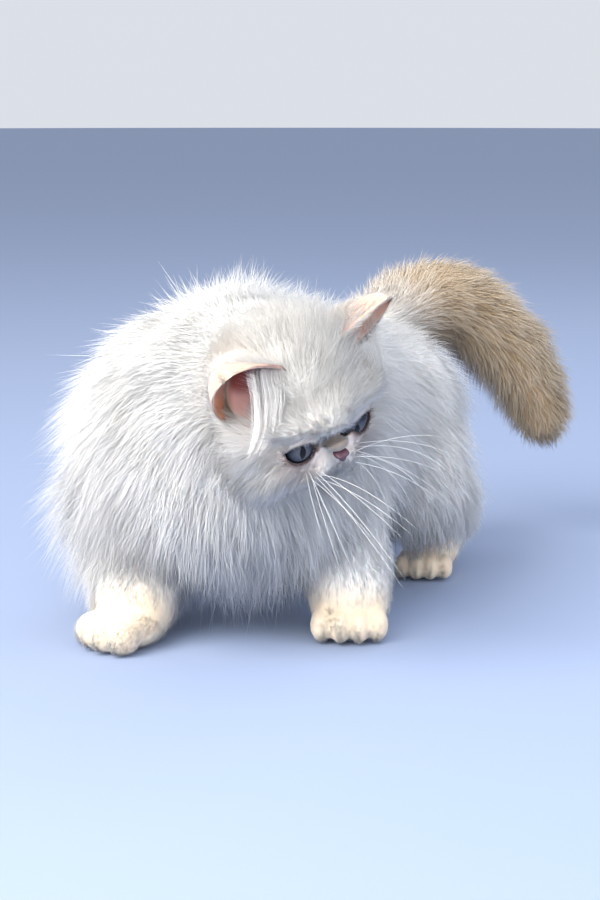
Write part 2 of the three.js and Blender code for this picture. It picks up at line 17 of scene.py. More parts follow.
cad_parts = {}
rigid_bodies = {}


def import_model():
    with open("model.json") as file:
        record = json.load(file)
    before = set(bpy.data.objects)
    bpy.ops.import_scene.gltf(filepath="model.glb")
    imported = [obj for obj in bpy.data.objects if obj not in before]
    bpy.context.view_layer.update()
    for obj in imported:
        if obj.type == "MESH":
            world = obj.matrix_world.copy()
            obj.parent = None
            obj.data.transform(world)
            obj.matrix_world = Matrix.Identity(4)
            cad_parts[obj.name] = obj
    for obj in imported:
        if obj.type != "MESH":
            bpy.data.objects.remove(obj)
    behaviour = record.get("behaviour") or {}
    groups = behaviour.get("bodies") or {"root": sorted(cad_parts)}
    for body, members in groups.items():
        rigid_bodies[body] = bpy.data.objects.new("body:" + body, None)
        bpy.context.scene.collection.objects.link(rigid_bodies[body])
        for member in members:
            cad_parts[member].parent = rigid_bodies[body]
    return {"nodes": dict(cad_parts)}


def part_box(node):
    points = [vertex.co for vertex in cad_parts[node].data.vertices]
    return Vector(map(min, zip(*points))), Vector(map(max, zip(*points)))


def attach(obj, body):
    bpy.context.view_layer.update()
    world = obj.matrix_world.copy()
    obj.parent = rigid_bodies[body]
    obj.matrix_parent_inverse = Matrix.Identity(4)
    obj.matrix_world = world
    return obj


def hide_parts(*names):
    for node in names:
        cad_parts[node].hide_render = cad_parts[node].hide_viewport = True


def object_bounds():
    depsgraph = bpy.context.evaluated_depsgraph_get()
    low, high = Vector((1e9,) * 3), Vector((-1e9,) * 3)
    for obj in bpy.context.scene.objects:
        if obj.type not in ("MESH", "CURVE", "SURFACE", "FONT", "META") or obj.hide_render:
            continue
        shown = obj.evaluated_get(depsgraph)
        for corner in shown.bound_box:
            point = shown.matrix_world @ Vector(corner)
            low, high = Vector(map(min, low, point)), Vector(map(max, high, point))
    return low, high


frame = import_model()
cad_box = [list(corner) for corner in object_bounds()]
print("nodes in the frame:", len(frame["nodes"]))

# %% [markdown]
# The body's sizes are close to the ones that the solids were drawn from: for each station its middle, half
# width, half height and depth of coat. X is the kitten's left, Y runs from its chest to its tail and Z is up.
# The frame puts its origin in the middle of the whole box, so one known point, the middle of the left eye,
# gives the shift between the two.

# %% Sizes of the body
TORSO = np.array([
    [-8, -14, 80, 24, 25, 24],
    [-11, 18, 86, 36, 37, 36],
    [-9, 62, 85, 37, 38, 33],
    [-4, 110, 82, 34, 36, 24],
    [1, 152, 80, 31, 33, 20],
    [3, 184, 84, 22, 24, 20],
], float)
TAIL = np.array([
    [-1, 176, 98, 9, 9, 13],
    [4, 200, 117, 7.5, 7.5, 16],
    [26, 222, 127, 7, 7, 19],
    [50, 235, 110, 6, 6, 19],
    [64, 241, 88, 5, 5, 16],
    [73, 244, 64, 4, 4, 11],
], float)
NECK = [  # middle, half sizes, coat
    [(-10, 12, 98), (28, 24, 26), 34],
    [(4, -6, 110), (25, 22, 24), 24],
    [(18, -18, 118), (22, 20, 22), 12],
]
# Each leg has upper balls like the neck's, lower stations like the torso's, and the place, heading and size
# of its paw.
LEGS = {
    "front_right": {
        "upper": [[(-36, 22, 80), (20, 22, 26), 38], [(-50, 28, 54), (15, 16, 16), 34]],
        "lower": [[-50, 24, 50, 14, 14, 14], [-47, 6, 28, 11.5, 11.5, 12], [-44, -8, 12, 11, 11, 7]],
        "paw": (-44, -18, 0), "toes": (-0.5, -0.87, 0), "size": 1.0,
    },
    "front_left": {
        "upper": [[(16, 26, 80), (18, 22, 24), 22], [(30, 42, 54), (14, 15, 15), 15]],
        "lower": [[30, 44, 50, 12, 12, 12], [36, 40, 28, 12, 12, 8], [39, 34, 12, 11.5, 11.5, 6]],
        "paw": (40, 30, 0), "toes": (0.36, -0.93, 0), "size": 1.0,
    },
    "hind_right": {
        "upper": [[(-20, 158, 76), (18, 26, 26), 20], [(-35, 138, 52), (13, 18, 18), 23]],
        "lower": [[-37, 140, 47, 12, 13, 19], [-39, 160, 37, 10, 10, 16], [-40, 177, 29, 8, 8, 11],
                  [-39, 170, 18, 8, 8, 6], [-38, 160, 11, 9, 9, 5]],
        "paw": (-38, 152, 0), "toes": (-0.2, -0.98, 0), "size": 0.84,
    },
    "hind_left": {
        "upper": [[(24, 158, 76), (18, 26, 26), 20], [(37, 138, 52), (13, 18, 18), 23]],
        "lower": [[39, 140, 47, 12, 13, 19], [40, 160, 37, 10, 10, 16], [40, 177, 29, 8, 8, 11],
                  [39, 170, 18, 8, 8, 6], [38, 160, 11, 9, 9, 5]],
        "paw": (38, 150, 0), "toes": (0.25, -0.97, 0), "size": 0.84,
    },
}
PAW = {"length": 40, "width": 34, "height": 21}
print("stations:", len(TORSO), "of the torso and", len(TAIL), "of the tail; legs:", ", ".join(LEGS))

# %% [markdown]
# The head has a frame of its own, because it is turned, lowered and tilted: x goes out through the nose, y
# to the kitten's left and z through the crown. The eyes, ears and nose are placed in that frame. An eye and an
# ear are given for the left side only, and a factor called side, which is 1 or -1, mirrors them.

# %% Sizes of the head
HEAD_CENTRE = np.array([36.0, -30.0, 111.0])
HEAD_FORWARD = np.array([0.809, -0.334, -0.482])
HEAD_UP = np.array([0.288, -0.488, 0.823])
SKULL = [  # middle, half sizes, depth of coat
    [(-3, 0, 5), (26, 24, 25), 6],
    [(5, 13, -11), (15, 12, 14), 4], [(5, -13, -11), (15, 12, 14), 4],
    [(13, 10, 8), (8, 12, 8), 3.5], [(13, -10, 8), (8, 12, 8), 3.5],
    [(21, 6, -12), (8, 8, 7), 2.5], [(21, -6, -12), (8, 8, 7), 2.5],
    [(16, 0, -19), (8, 9, 6), 3],
]
EYE = np.array([17.3, 14.0, -0.5])
EYE_RADIUS = 8.8
NOSE = np.array([30.5, 0.0, -3.0])
EAR = {
    "inner": np.array([7.0, 14, 31]),
    "outer": np.array([-7.0, 28, -2]),
    "back": np.array([-26.0, 26, 22]),
    "tip": np.array([5.0, 43, 36.5]),
    "thick": 1.8,
    "bowl": np.array([1.0, 27, 17]),
    "bowl_size": np.array([9.0, 9, 14]),
}
SIDES = {"right": -1, "left": 1}

head_left = np.cross(HEAD_UP, HEAD_FORWARD)
head_left /= np.linalg.norm(head_left)
head_axes = np.array([HEAD_FORWARD / np.linalg.norm(HEAD_FORWARD), head_left, np.zeros(3)])
head_axes[2] = np.cross(head_axes[0], head_axes[1])


def from_head(points):
    return np.asarray(points, float) @ head_axes + HEAD_CENTRE


def to_head(points):
    return (np.asarray(points, float) - HEAD_CENTRE) @ head_axes.T


eye_low, eye_high = (np.array(corner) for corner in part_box("eye_left"))
SHIFT = (eye_low + eye_high) * 500 - from_head(EYE)
print("shift of the frame in millimetres:", SHIFT.round(3))


def metres(points):
    return (np.asarray(points, float) + SHIFT) / 1000


# %% [markdown]
# ## Shapes from a distance field
# Flesh has no edges, so it is drawn as a field that holds at each point the distance to the nearest surface.
# Balls are blended in softly, hollows are taken out softly, and the level zero is turned into a mesh. Metaballs
# would be another way, but they can't be hollowed for eye sockets, ears and the mouth.

# %% A field and its balls
FAR = 15.0  # millimetres, where a field stops counting


class Field:
    def __init__(self, low, high, step):
        self.low, self.step = np.array(low, float), step
        self.axes = [np.arange(a, b, step, dtype=np.float32) for a, b in zip(low, high)]
        self.value = np.full([len(axis) for axis in self.axes], FAR, np.float32)

    def near(self, centre, reach):
        """The part of the grid within reach of a point, and how far off each place in it lies."""
        pairs = list(zip(self.axes, centre))
        spans = [slice(*np.searchsorted(axis, (c - reach, c + reach))) for axis, c in pairs]
        grids = np.meshgrid(*[axis[s] - c for s, (axis, c) in zip(spans, pairs)], indexing="ij")
        return tuple(spans), np.stack(grids, -1)

    def mix(self, spans, distance, soft, sign):
        """Adds a shape where sign is 1 and takes it out where it is -1, blended over soft millimetres."""
        here = self.value[spans] * sign
        blend = np.maximum(soft - np.abs(here - distance), 0) / soft
        self.value[spans] = sign * (np.minimum(here, distance) - blend * blend * soft / 4)

    def ball(self, centre, radii, soft=2.0, turn=None, hollow=False):
        radii = np.broadcast_to(np.asarray(radii, np.float32), 3)
        spans, offset = self.near(centre, max(radii) + 2 * soft + FAR / 2)
        if turn is not None:
            offset = offset @ np.asarray(turn, np.float32).T
        self.mix(spans, ball_distance(offset, radii), soft, -1 if hollow else 1)

    def mesh(self):
        grid = openvdb.FloatGrid(FAR)
        grid.copyFromArray(self.value)
        points, quads = grid.convertToQuads(isovalue=0.0)[:2]
        points = points.astype(float) * self.step + self.low
        return points, facing_out(points, quads.astype(np.int64))


def ball_distance(offset, radii):
    scaled = np.sqrt(((offset / radii) ** 2).sum(-1))
    slope = np.sqrt(((offset / radii**2) ** 2).sum(-1))
    return scaled * (scaled - 1) / np.maximum(slope, 1e-6)


def facing_out(points, quads):
    """The same faces, turned round if they enclose a negative volume."""
    a, b, c, d = (points[quads[:, k]] - points.mean(0) for k in range(4))
    volume = (a * (np.cross(b, c) + np.cross(c, d))).sum()
    return quads if volume > 0 else quads[:, ::-1]


def along(stations, count):
    """Stations read off a smooth curve through the given ones, and the way it runs."""
    stations = np.asarray(stations, float)
    ends = np.vstack([2 * stations[0] - stations[1], stations, 2 * stations[-1] - stations[-2]])
    at = np.linspace(0, len(stations) - 1, count)
    first = np.minimum(at.astype(int), len(stations) - 2)
    t = (at - first)[:, None]
    p0, p1, p2, p3 = (ends[first + k] for k in range(4))
    found = 0.5 * (2 * p1 + (p2 - p0) * t + (2 * p0 - 5 * p1 + 4 * p2 - p3) * t**2
                   + (3 * p1 - p0 - 3 * p2 + p3) * t**3)
    way = np.gradient(found[:, :3], axis=0)
    return found, way / np.linalg.norm(way, axis=1, keepdims=True)


# %% [markdown]
# Each part of the body is a row of balls. The same rows later tell every tuft which part it grows on, how
# deep the coat is there and which way that part runs, so skin, coat and markings can't drift apart.

# %% Rows of balls
UNDER = 0.4  # share of the coat's depth that is woolly undercoat and reads as solid


def row(stations, count, flat=1.0):
    found, way = along(stations, count)
    radii = np.stack([found[:, 3], np.maximum(found[:, 3:5].mean(1), 1) * flat, found[:, 4]], 1)
    radii = radii + UNDER * found[:, 5:6]
    return {"centre": found[:, :3], "radii": radii, "coat": found[:, 5], "way": way}


def balls(listed, way):
    centre, radii, coat = (np.array([ball[k] for ball in listed], float) for k in range(3))
    way = np.tile(np.array(way, float), (len(coat), 1))
    return {"centre": centre, "radii": radii + UNDER * coat[:, None], "coat": coat, "way": way}


def paw_turn(leg):
    forward = np.array(leg["toes"], float) / np.linalg.norm(leg["toes"])
    return np.array([forward, np.cross((0, 0, 1), forward), (0, 0, 1)])


def paw_balls(leg):
    size, turn = leg["size"], paw_turn(leg)
    middle = np.array(leg["paw"], float) + (0, 0, PAW["height"] * 0.42 * size)
    listed = [[(-3, 0, 1), (14.4, 14.5, 10.2)]]
    for n in (-1.5, -0.5, 0.5, 1.5):  # four toes, the middle two furthest out
        toe = (PAW["length"] * (0.28 - 0.035 * n * n), n * PAW["width"] * 0.235, -1)
        listed.append([toe, (8.0, 4.7, 7.2)])
    return [[middle + np.array(c) * size @ turn, np.array(r) * size] for c, r in listed]


PARTS = {"torso": row(TORSO, 30, 0.6), "tail": row(TAIL, 34), "neck": balls(NECK, (0.8, -0.5, 0.3))}
for name, leg in LEGS.items():
    PARTS["upper_" + name] = balls(leg["upper"], (0, 0, -1))
    PARTS["lower_" + name] = row(leg["lower"], 14)
    toe_balls = [[c, r - 1.2, 3.0] for c, r in paw_balls(leg)]
    PARTS["paw_" + name] = balls(toe_balls, leg["toes"])
head_balls = [[from_head(c), r, coat] for c, r, coat in SKULL]
PARTS["head"] = balls(head_balls, HEAD_UP)
print("parts:", ", ".join(PARTS))

# %% [markdown]
# ## The skin
# The skin of the body needs only a coarse grid, because a long coat covers it. Paws get their toes here, and
# are cut flat just above the floor. The head gets a grid three times finer, with brow, cheeks, muzzle,
# sockets, lids, the deep fold over the nose that a Persian has, the line of the mouth and the ears' bowls.

# %% Skin of the body
SOLE = 0.6  # millimetres from the floor to the flat of a paw
body = Field((-86, -66, -6), (96, 272, 150), 1.9)
for name, part in PARTS.items():
    if name == "head" or name.startswith("paw"):
        continue
    for centre, radii in zip(part["centre"], part["radii"]):
        body.ball(centre, radii, soft=12.0 if name.startswith(("upper", "neck")) else 6.0)
for leg in LEGS.values():
    for centre, radii in paw_balls(leg):
        body.ball(centre, radii, soft=1.2, turn=paw_turn(leg))
floor_side = (body.axes[2] < SOLE)[None, None, :]
body.value = np.where(floor_side, FAR, body.value).astype(np.float32)
body_points, body_quads = body.mesh()
print("skin of the body:", len(body_quads), "faces")

# %% Skin of the head
LID = 1.2  # how far the lids stand out over the eyeball
LID_HALF = 6.7  # half the width of the opening between them
TURNED_OUT = 0.25  # radians that each eye is turned out
FOLD = [(20, -9, -5), (25, -6.5, 1), (28, 0, 4.5), (25, 6.5, 1), (20, 9, -5)]
MOUTH = [(15, 15, -18), (24, 10, -20.5), (29.5, 4, -20), (31, 0, -17.5), (29.5, -4, -20), (24, -10, -20.5),
         (15, -15, -18)]
PARTING = [(33, 0, -7), (32.5, 0, -12), (31, 0, -17.5)]


def eye_axes(side):
    forward = np.array([math.cos(TURNED_OUT), side * math.sin(TURNED_OUT), 0])
    left = np.array([-side * math.sin(TURNED_OUT), math.cos(TURNED_OUT), 0])
    return np.array([forward, left, np.cross(forward, left)])


def eye_middle(side):
    return EYE * (1, side, 1)


def lid_edges(across):
    """Height of the upper and the lower lid's edge, at a place from the outer corner, -1, to the inner, 1."""
    arch = np.clip(1 - across**2, 0, 1)
    corner = 2.3 + 0.3 * across
    return corner + 3.1 * arch**0.8, corner - 5.8 * arch**0.6


head = Field((-36, -40, -38), (42, 40, 40), 0.6)
for centre, radii, coat in SKULL:
    head.ball(centre, np.array(radii) + UNDER * coat, soft=5.0)
head.ball((22, 0, 12), (8, 10, 8), soft=5.0)  # forehead
head.ball((27, 0, 0.5), (4.6, 5.2, 3.6), soft=2.5)  # bridge of the nose
for side in SIDES.values():
    head.ball((17, side * 14, 11), (8, 12, 6), soft=4.0)  # brow
    head.ball((16, side * 15, -11), (9, 12, 7), soft=4.0)  # cheek
    head.ball((9, side * 22, -1), (8, 8, 10), soft=4.0)  # temple
    head.ball(eye_middle(side), EYE_RADIUS + LID, soft=3.5)
    head.ball(EAR["bowl"] * (1, side, 1), EAR["bowl_size"], soft=2.0, hollow=True)


def groove(field, points, radius, soft, count):
    for centre in along(points, count)[0]:
        field.ball(centre, radius, soft=soft, hollow=True)


groove(head, FOLD, 2.0, 1.4, 26)
groove(head, MOUTH, 0.9, 0.6, 50)
groove(head, PARTING, 0.8, 0.6, 14)
for side in SIDES.values():
    spans, offset = head.near(eye_middle(side), EYE_RADIUS + LID + 3)
    local = offset @ eye_axes(side).T.astype(np.float32)
    across = local[..., 1] / LID_HALF * -side
    upper, lower = lid_edges(across)
    gap = np.maximum(local[..., 2] - upper, lower - local[..., 2])
    gap = np.maximum(gap, (np.abs(across) - 1) * LID_HALF)
    gap = np.maximum(gap, 2 - local[..., 0])
    head.mix(spans, gap.astype(np.float32), 0.5, -1)
    head.ball(eye_middle(side), EYE_RADIUS + 0.1, soft=0.3, hollow=True)
head_points, head_quads = head.mesh()
head_points = from_head(head_points)
print("skin of the head:", len(head_quads), "faces")

# %% [markdown]
# An ear is a thin cup: its foot is an arc on the head, and its rim closes on a round tip. It is a sheet with
# two sides, drawn by two numbers: s goes along the foot from the inner margin to the outer one, and t from
# the foot to the tip. It starts a little inside the head, so that no gap shows at its foot.

# %% Ears
EAR_ALONG, EAR_UP = 56, 36


def ear_point(s, t, side, lift):
    foot = (1 - s) ** 2 * EAR["inner"] + 2 * s * (1 - s) * EAR["back"] + s**2 * EAR["outer"]
    run = 2 * (1 - s) * (EAR["back"] - EAR["inner"]) + 2 * s * (EAR["outer"] - EAR["back"])
    middle = (EAR["inner"] + EAR["outer"]) / 2
    rise = EAR["tip"] - middle
    wide = np.sqrt(np.maximum(0.0, 1 - t**2.2)) * 0.97 + 0.03
    wall = np.cross(run, rise)
    wall /= np.linalg.norm(wall, axis=-1, keepdims=True)
    thin = EAR["thick"] * (1 - 0.55 * t)
    point = (foot - middle) * wide + rise * (t * 1.3 - 0.3) + middle + wall * (lift * thin)
    return point * (1, side, 1)


def ear_sheet(side):
    s, t = np.meshgrid(np.linspace(0, 1, EAR_ALONG), np.linspace(0, 1, EAR_UP), indexing="ij")
    s, t = s[..., None], t[..., None]
    sheets = [ear_point(s, t, side, lift).reshape(-1, 3) for lift in (0.5, -0.5)]
    n = EAR_ALONG * EAR_UP
    ids = np.arange(n).reshape(EAR_ALONG, EAR_UP)
    a, b, c, d = ids[:-1, :-1], ids[1:, :-1], ids[1:, 1:], ids[:-1, 1:]
    top = np.stack([a, b, c, d], -1).reshape(-1, 4)
    rim = np.concatenate([ids[:, 0], ids[-1, 1:], ids[-2::-1, -1], ids[0, -2:0:-1]])
    nxt = np.roll(rim, -1)
    edge = np.stack([rim, rim + n, nxt + n, nxt], -1)
    quads = np.vstack([top, top[:, ::-1] + n, edge])
    points = np.vstack(sheets)
    return points, facing_out(points, quads), np.tile(s.ravel(), 2), np.tile(t.ravel(), 2)


ears = {name: ear_sheet(side) for name, side in SIDES.items()}
print("ear sheet:", len(ears["left"][1]), "faces each")

# %% [markdown]
# ## Colours
# White, cream and skin tones are written as sRGB hex values. One function turns them to linear numbers. The
# kitten is of the pale colour-pointed kind: white to ivory, with cream on the points, that is on the ears,
# the paws and the tail. Its lids are dark, and tears have stained the fur below the eyes. The deep fold over
# the nose is dark with painted shade in its crease over a slightly darker tone of its own, and grey on the
# whisker pads and below the nose is painted shade. One function gives the marking of any place, for the skin
# and for every tuft. It lays a list of washes one over the other, each of a colour, a strength, the distance
# up to which it is full, the distance at which it ends, and every point's distance from the place that it
# belongs to.

# %% Colours and markings
def linear(hex_colour):
    part = np.array([int(hex_colour[k:k + 2], 16) / 255 for k in (1, 3, 5)])
    return np.where(part <= 0.04045, part / 12.92, ((part + 0.055) / 1.055) ** 2.4)


WHITE = linear("#fbf9f5")
IVORY = linear("#f8efe2")
PAW_CREAM = linear("#dfc8a8")
TAIL_CREAM = linear("#bd9b74")
EAR_PEACH = linear("#f3cdaa")
ROSE = linear("#e2b1a6")
DEEP_ROSE = linear("#8f3f38")
LID_BROWN = linear("#382626")
# painted shade for the crease of the fold over the nose, over a slightly darker tone of the hair
CREASE_SHADE_AND_TONE = linear("#453b37")
TEAR = linear("#6e5047")
CORNER_RED = linear("#381a1e")
TAN = linear("#85786d")
# painted shade for the whisker pads and for the parting and lip below the nose
SHADE_GREY = linear("#8f8c8c")


def smooth(low, high, x):
    t = np.clip((x - low) / (high - low), 0, 1)
    return t * t * (3 - 2 * t)


def blend(colour, other, amount):
    return colour + (other - colour) * amount[:, None]


def mirrored_left(h):
    return np.stack([h[:, 0], np.abs(h[:, 1]), h[:, 2]], 1)


def from_place(points, place):
    return np.linalg.norm(points - np.array(place, float), axis=1)


def in_eye_axes(h, side):
    return (h - eye_middle(side)) @ eye_axes(side).T


def distance_to(part, points):
    """Distance from each point to a part's nearest ball, and which ball it is."""
    offset = points[:, None, :] - part["centre"][None]
    found = ball_distance(offset, part["radii"][None])
    which = found.argmin(1)
    return found[np.arange(len(points)), which], which


def line_distance(points, line, count=24):
    found, _ = along(line, count)
    return np.sqrt(((points[:, None] - found[None]) ** 2).sum(-1)).min(1)


def lid_reach(mirrored):
    """Distance from the lids' rims for points brought to the left side, and 1 below the eye, 0 above it."""
    local = in_eye_axes(mirrored, 1)
    across = np.clip(-local[:, 1] / LID_HALF, -1, 1)
    upper, lower = lid_edges(across)
    aside = np.abs(local[:, 1]) - LID_HALF
    edge = np.minimum(np.abs(local[:, 2] - upper), np.abs(local[:, 2] - lower)) + 3 * np.maximum(aside, 0)
    return np.where(local[:, 0] > 0, edge, 99.0), smooth(2.5, 0.0, local[:, 2] - lower)


def markings(points):
    h = to_head(points)
    left = mirrored_left(h)
    eye_reach = from_place(left, EYE + (7, 1, -3))
    lid_edge, below = lid_reach(left)
    tail_end = smooth(174, 207, points[:, 1])
    washes = [(IVORY, 0.5, 30, 46, np.linalg.norm(h, axis=1))]
    washes += [(PAW_CREAM, 0.85, 0, 15, distance_to(PARTS["paw_" + name], points)[0]) for name in LEGS]
    washes += [
        (TAIL_CREAM, tail_end, 3, 16, distance_to(PARTS["tail"], points)[0]),
        (EAR_PEACH, 0.6, 8, 22, line_distance(left, [(-8, 26, 14), (0, 36, 26), EAR["tip"]])),
        (IVORY, 0.6, 8, 26, eye_reach),
        (ROSE, 0.3, 6, 13, eye_reach),
        (ROSE, 0.15, 5, 14, from_place(left, (12, 25, 8))),  # temples
        (TEAR, 0.3 + 0.6 * below, 0.8, 5.5, lid_edge),
        (CORNER_RED, 0.92, 2.0, 4.6, from_place(left, (25.0, 7.0, 1.8))),  # inner corners of the eyes
        (TAN, 0.92, 4, 8.5, from_place(h, (29, 0, 1))),  # bare bridge of the nose
        # painted shade: grey on the whisker pads and along the parting down to the lip
        (SHADE_GREY, 0.35, 4, 11, from_place(left, (28, 6, -11))),  # whisker pads
        (SHADE_GREY, 0.9, 2.5, 7.5, line_distance(h, PARTING + [(30, 0, -22)])),  # lip
        # painted shade in the crease of the fold over the nose, over a slightly darker tone of the hair
        (CREASE_SHADE_AND_TONE, 0.85, 0.8, 3.6, line_distance(h, FOLD)),
    ]
    colour = np.tile(WHITE, (len(points), 1))
    for wash, strength, full, ends, reach in washes:
        colour = blend(colour, wash, strength * (1 - smooth(full, ends, reach)))
    return colour


print("colour of the back:", markings(np.array([[0.0, 90, 120]]))[0].round(3))

# %% [markdown]
# ## Meshes and materials
# Meshes come from arrays, which is fast enough for a quarter of a million tufts. Every vertex carries its
# colour, and the material adds what is finer. One small function adds a node with its settings and its links.

# %% From arrays to an object
def linked(name, data):
    made = bpy.data.objects.new(name, data)
    bpy.context.scene.collection.objects.link(made)
    return made


def piece_from(name, points, faces, material, colour=None, uv=None, lean=None):
    mesh = bpy.data.meshes.new(name)
    faces = np.asarray(faces, np.int32)
    corners = faces.shape[1]
    mesh.vertices.add(len(points))
    mesh.vertices.foreach_set("co", metres(points).astype(np.float32).ravel())
    mesh.loops.add(faces.size)
    mesh.loops.foreach_set("vertex_index", faces.ravel())
    mesh.polygons.add(len(faces))
    mesh.polygons.foreach_set("loop_start", np.arange(0, faces.size, corners, dtype=np.int32))
    mesh.polygons.foreach_set("loop_total", np.full(len(faces), corners, np.int32))
    mesh.update(calc_edges=True)
    mesh.polygons.foreach_set("use_smooth", np.full(len(faces), True))
    if colour is not None:
        layer = mesh.color_attributes.new("marking", "FLOAT_COLOR", "POINT")
        with_alpha = np.column_stack([colour, np.ones(len(colour))])
        layer.data.foreach_set("color", with_alpha.astype(np.float32).ravel())
    if uv is not None:
        layer = mesh.uv_layers.new(name="OFBake")
        layer.data.foreach_set("uv", uv[faces.ravel()].astype(np.float32).ravel())
    if lean is not None:
        mesh.normals_split_custom_set_from_vertices(lean.astype(np.float32))
    mesh.materials.append(material)
    piece = linked(name, mesh)
    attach(piece, "root")
    return piece


def new_material(name):
    material = bpy.data.materials.new(name)
    material.use_nodes = True
    material.node_tree.nodes.clear()
    return material


def add_node(material, kind, inputs=None, **settings):
    made = material.node_tree.nodes.new(kind)
    for key, value in settings.items():
        setattr(made, key, value)
    for key, value in (inputs or {}).items():
        if isinstance(value, bpy.types.NodeSocket):
            material.node_tree.links.new(value, made.inputs[key])
        else:
            made.inputs[key].default_value = value
    return made


def finish_material(material, shader):
    add_node(material, "ShaderNodeOutputMaterial", {"Surface": shader.outputs["BSDF"]})
    return material


# %% Skin and coat materials
def kitten_skin():
    """Thin pink skin under a velvet of down: matt, with a grain of short hairs about 0.4 mm apart."""
    m = new_material("downy_skin")
    marking = add_node(m, "ShaderNodeAttribute", attribute_name="marking")
    place = add_node(m, "ShaderNodeTexCoord")
    grain = add_node(m, "ShaderNodeTexNoise", {
        "Vector": place.outputs["Object"], "Scale": 2500.0, "Detail": 2.0,
    })
    bump = add_node(m, "ShaderNodeBump", {
        "Height": grain.outputs["Fac"], "Strength": 0.35, "Distance": 0.0003,
    })
    shader = add_node(m, "ShaderNodeBsdfPrincipled", {
        "Base Color": marking.outputs["Color"], "Roughness": 0.75, "Sheen Weight": 0.3,
        "Subsurface Weight": 0.3, "Subsurface Radius": (1.0, 0.45, 0.3), "Subsurface Scale": 0.001,
        "Normal": bump.outputs["Normal"],
    })
    return finish_material(m, shader)


def silky_coat():
    """Long silky hair: pale keratin that lets light a little way in. Each tuft differs a little in shade."""
    m = new_material("silky_hair")
    marking = add_node(m, "ShaderNodeAttribute", attribute_name="marking")
    place = add_node(m, "ShaderNodeUVMap", uv_map="OFBake")
    vary = add_node(m, "ShaderNodeTexNoise", {"Vector": place.outputs["UV"], "Scale": 180.0, "Detail": 1.0})
    shade = add_node(m, "ShaderNodeMapRange", {
        "Value": vary.outputs["Fac"], "From Min": 0.3, "From Max": 0.7, "To Min": 0.93, "To Max": 1.0,
    })
    tinted = add_node(m, "ShaderNodeVectorMath", {
        0: marking.outputs["Color"], 1: shade.outputs["Result"],
    }, operation="MULTIPLY")
    shader = add_node(m, "ShaderNodeBsdfPrincipled", {
        "Base Color": tinted.outputs["Vector"], "Roughness": 0.85, "IOR": 1.35, "Subsurface Weight": 0.8,
        "Subsurface Radius": (1.0, 0.95, 0.9), "Subsurface Scale": 0.0006,
    })
    return finish_material(m, shader)


skin_material = kitten_skin()
coat_material = silky_coat()
print("materials:", skin_material.name, coat_material.name)

# %% [markdown]
# The meshes of body, head and ears become one piece. It stands for every node of flesh, so no seam can show.

# %% The skin piece
def joined(meshes):
    points, faces, start = [], [], 0
    for p, f in meshes:
        points.append(p)
        faces.append(f + start)
        start += len(p)
    return np.vstack(points), np.vstack(faces)


ear_meshes = [(from_head(ears[name][0]), ears[name][1]) for name in SIDES]
skin_points, skin_quads = joined([(body_points, body_quads), (head_points, head_quads), *ear_meshes])
skin_colour = markings(skin_points)


def from_bowl(h, side):
    return h - EAR["bowl"] * (1, side, 1)


def paint_skin(points, colour):
    """Dark rims of the lids, rose in the ears' bowls, rose darkened by painted shade in their wells, deep rose
    along the mouth.
    """
    h = to_head(points)
    for side in SIDES.values():
        local = in_eye_axes(h, side)
        across = local[:, 1] / LID_HALF * -side
        upper, lower = lid_edges(across)
        edge = np.minimum(np.abs(local[:, 2] - upper), np.abs(local[:, 2] - lower))
        near = (np.abs(across) < 1.12) & (local[:, 0] > 0)
        near &= np.linalg.norm(local, axis=1) < EYE_RADIUS + LID + 1
        rims = blend(colour, LID_BROWN, 1 - smooth(0.55, 1.5, edge))
        colour = np.where(near[:, None], rims, colour)
        bowl = from_bowl(h, side)
        deep = np.linalg.norm(bowl / EAR["bowl_size"], axis=1)
        colour = blend(colour, ROSE, 1 - smooth(0.75, 1.25, deep))
        cup = np.linalg.norm(bowl, axis=1)
        colour = blend(colour, ROSE, (1 - smooth(12, 15, cup)) * (h[:, 0] < 4))
        # painted shade: the rose skin is darkened to deep rose deep in each ear's well
        well = from_place(h, (-8, side * 21, 21))
        colour = blend(colour, DEEP_ROSE, 0.95 * (1 - smooth(6, 12, well)))
    mouth = np.minimum(line_distance(h, MOUTH), line_distance(h, PARTING))
    return blend(colour, DEEP_ROSE, 0.8 * (1 - smooth(0.5, 1.3, mouth)))


def paint_ear(s, t):
    """Paler towards the tip, orange painted where light comes through the outer margin, rose darkened by
    painted shade at the root.
    """
    colour = blend(np.tile(linear("#dba894"), (len(s), 1)), linear("#e6bfa6"), smooth(0.4, 0.9, t))
    # painted light: orange for light coming through the thin outer margin
    margin = smooth(0.72, 0.9, s) * (1 - smooth(0.55, 0.8, t))
    colour = blend(colour, linear("#ee9c63"), margin)
    # painted shade: deep rose where the ear's root sinks into its well
    well = smooth(0.2, 0.4, s) * (1 - smooth(0.65, 0.8, s)) * (1 - smooth(0.05, 0.3, t))
    return blend(colour, DEEP_ROSE, well)


skin_colour = paint_skin(skin_points, skin_colour)
start = len(body_points) + len(head_points)
for points, _, s, t in ears.values():
    skin_colour[start:start + len(points)] = paint_ear(s, t)
    start += len(points)
skin = piece_from("skin", skin_points, skin_quads, skin_material, skin_colour)
flesh = [n for n in frame["nodes"] if not n.startswith("eye") and n != "nose"]
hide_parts(*flesh)
print("skin:", len(skin_points), "points, stands for", len(flesh), "nodes")

# %% [markdown]
# ## How the coat grows
# Roots are scattered over the skin by area, with a seeded draw. At each root the nearby parts of the body
# share in saying how long a hair is, how much it stands up and which way it runs. Hair on the head runs away
# from the nose, the ruff away from the head, the body's back and down, a leg's down and the tail's along it.

# %% Scatter of roots
rng = np.random.default_rng(7)


def normals_of(points, quads):
    a, b, c, d = (points[quads[:, k]] for k in range(4))
    face = np.cross(c - a, d - b)
    total = np.zeros_like(points)
    for k in range(4):
        np.add.at(total, quads[:, k], face)
    return total / np.maximum(np.linalg.norm(total, axis=1, keepdims=True), 1e-9)


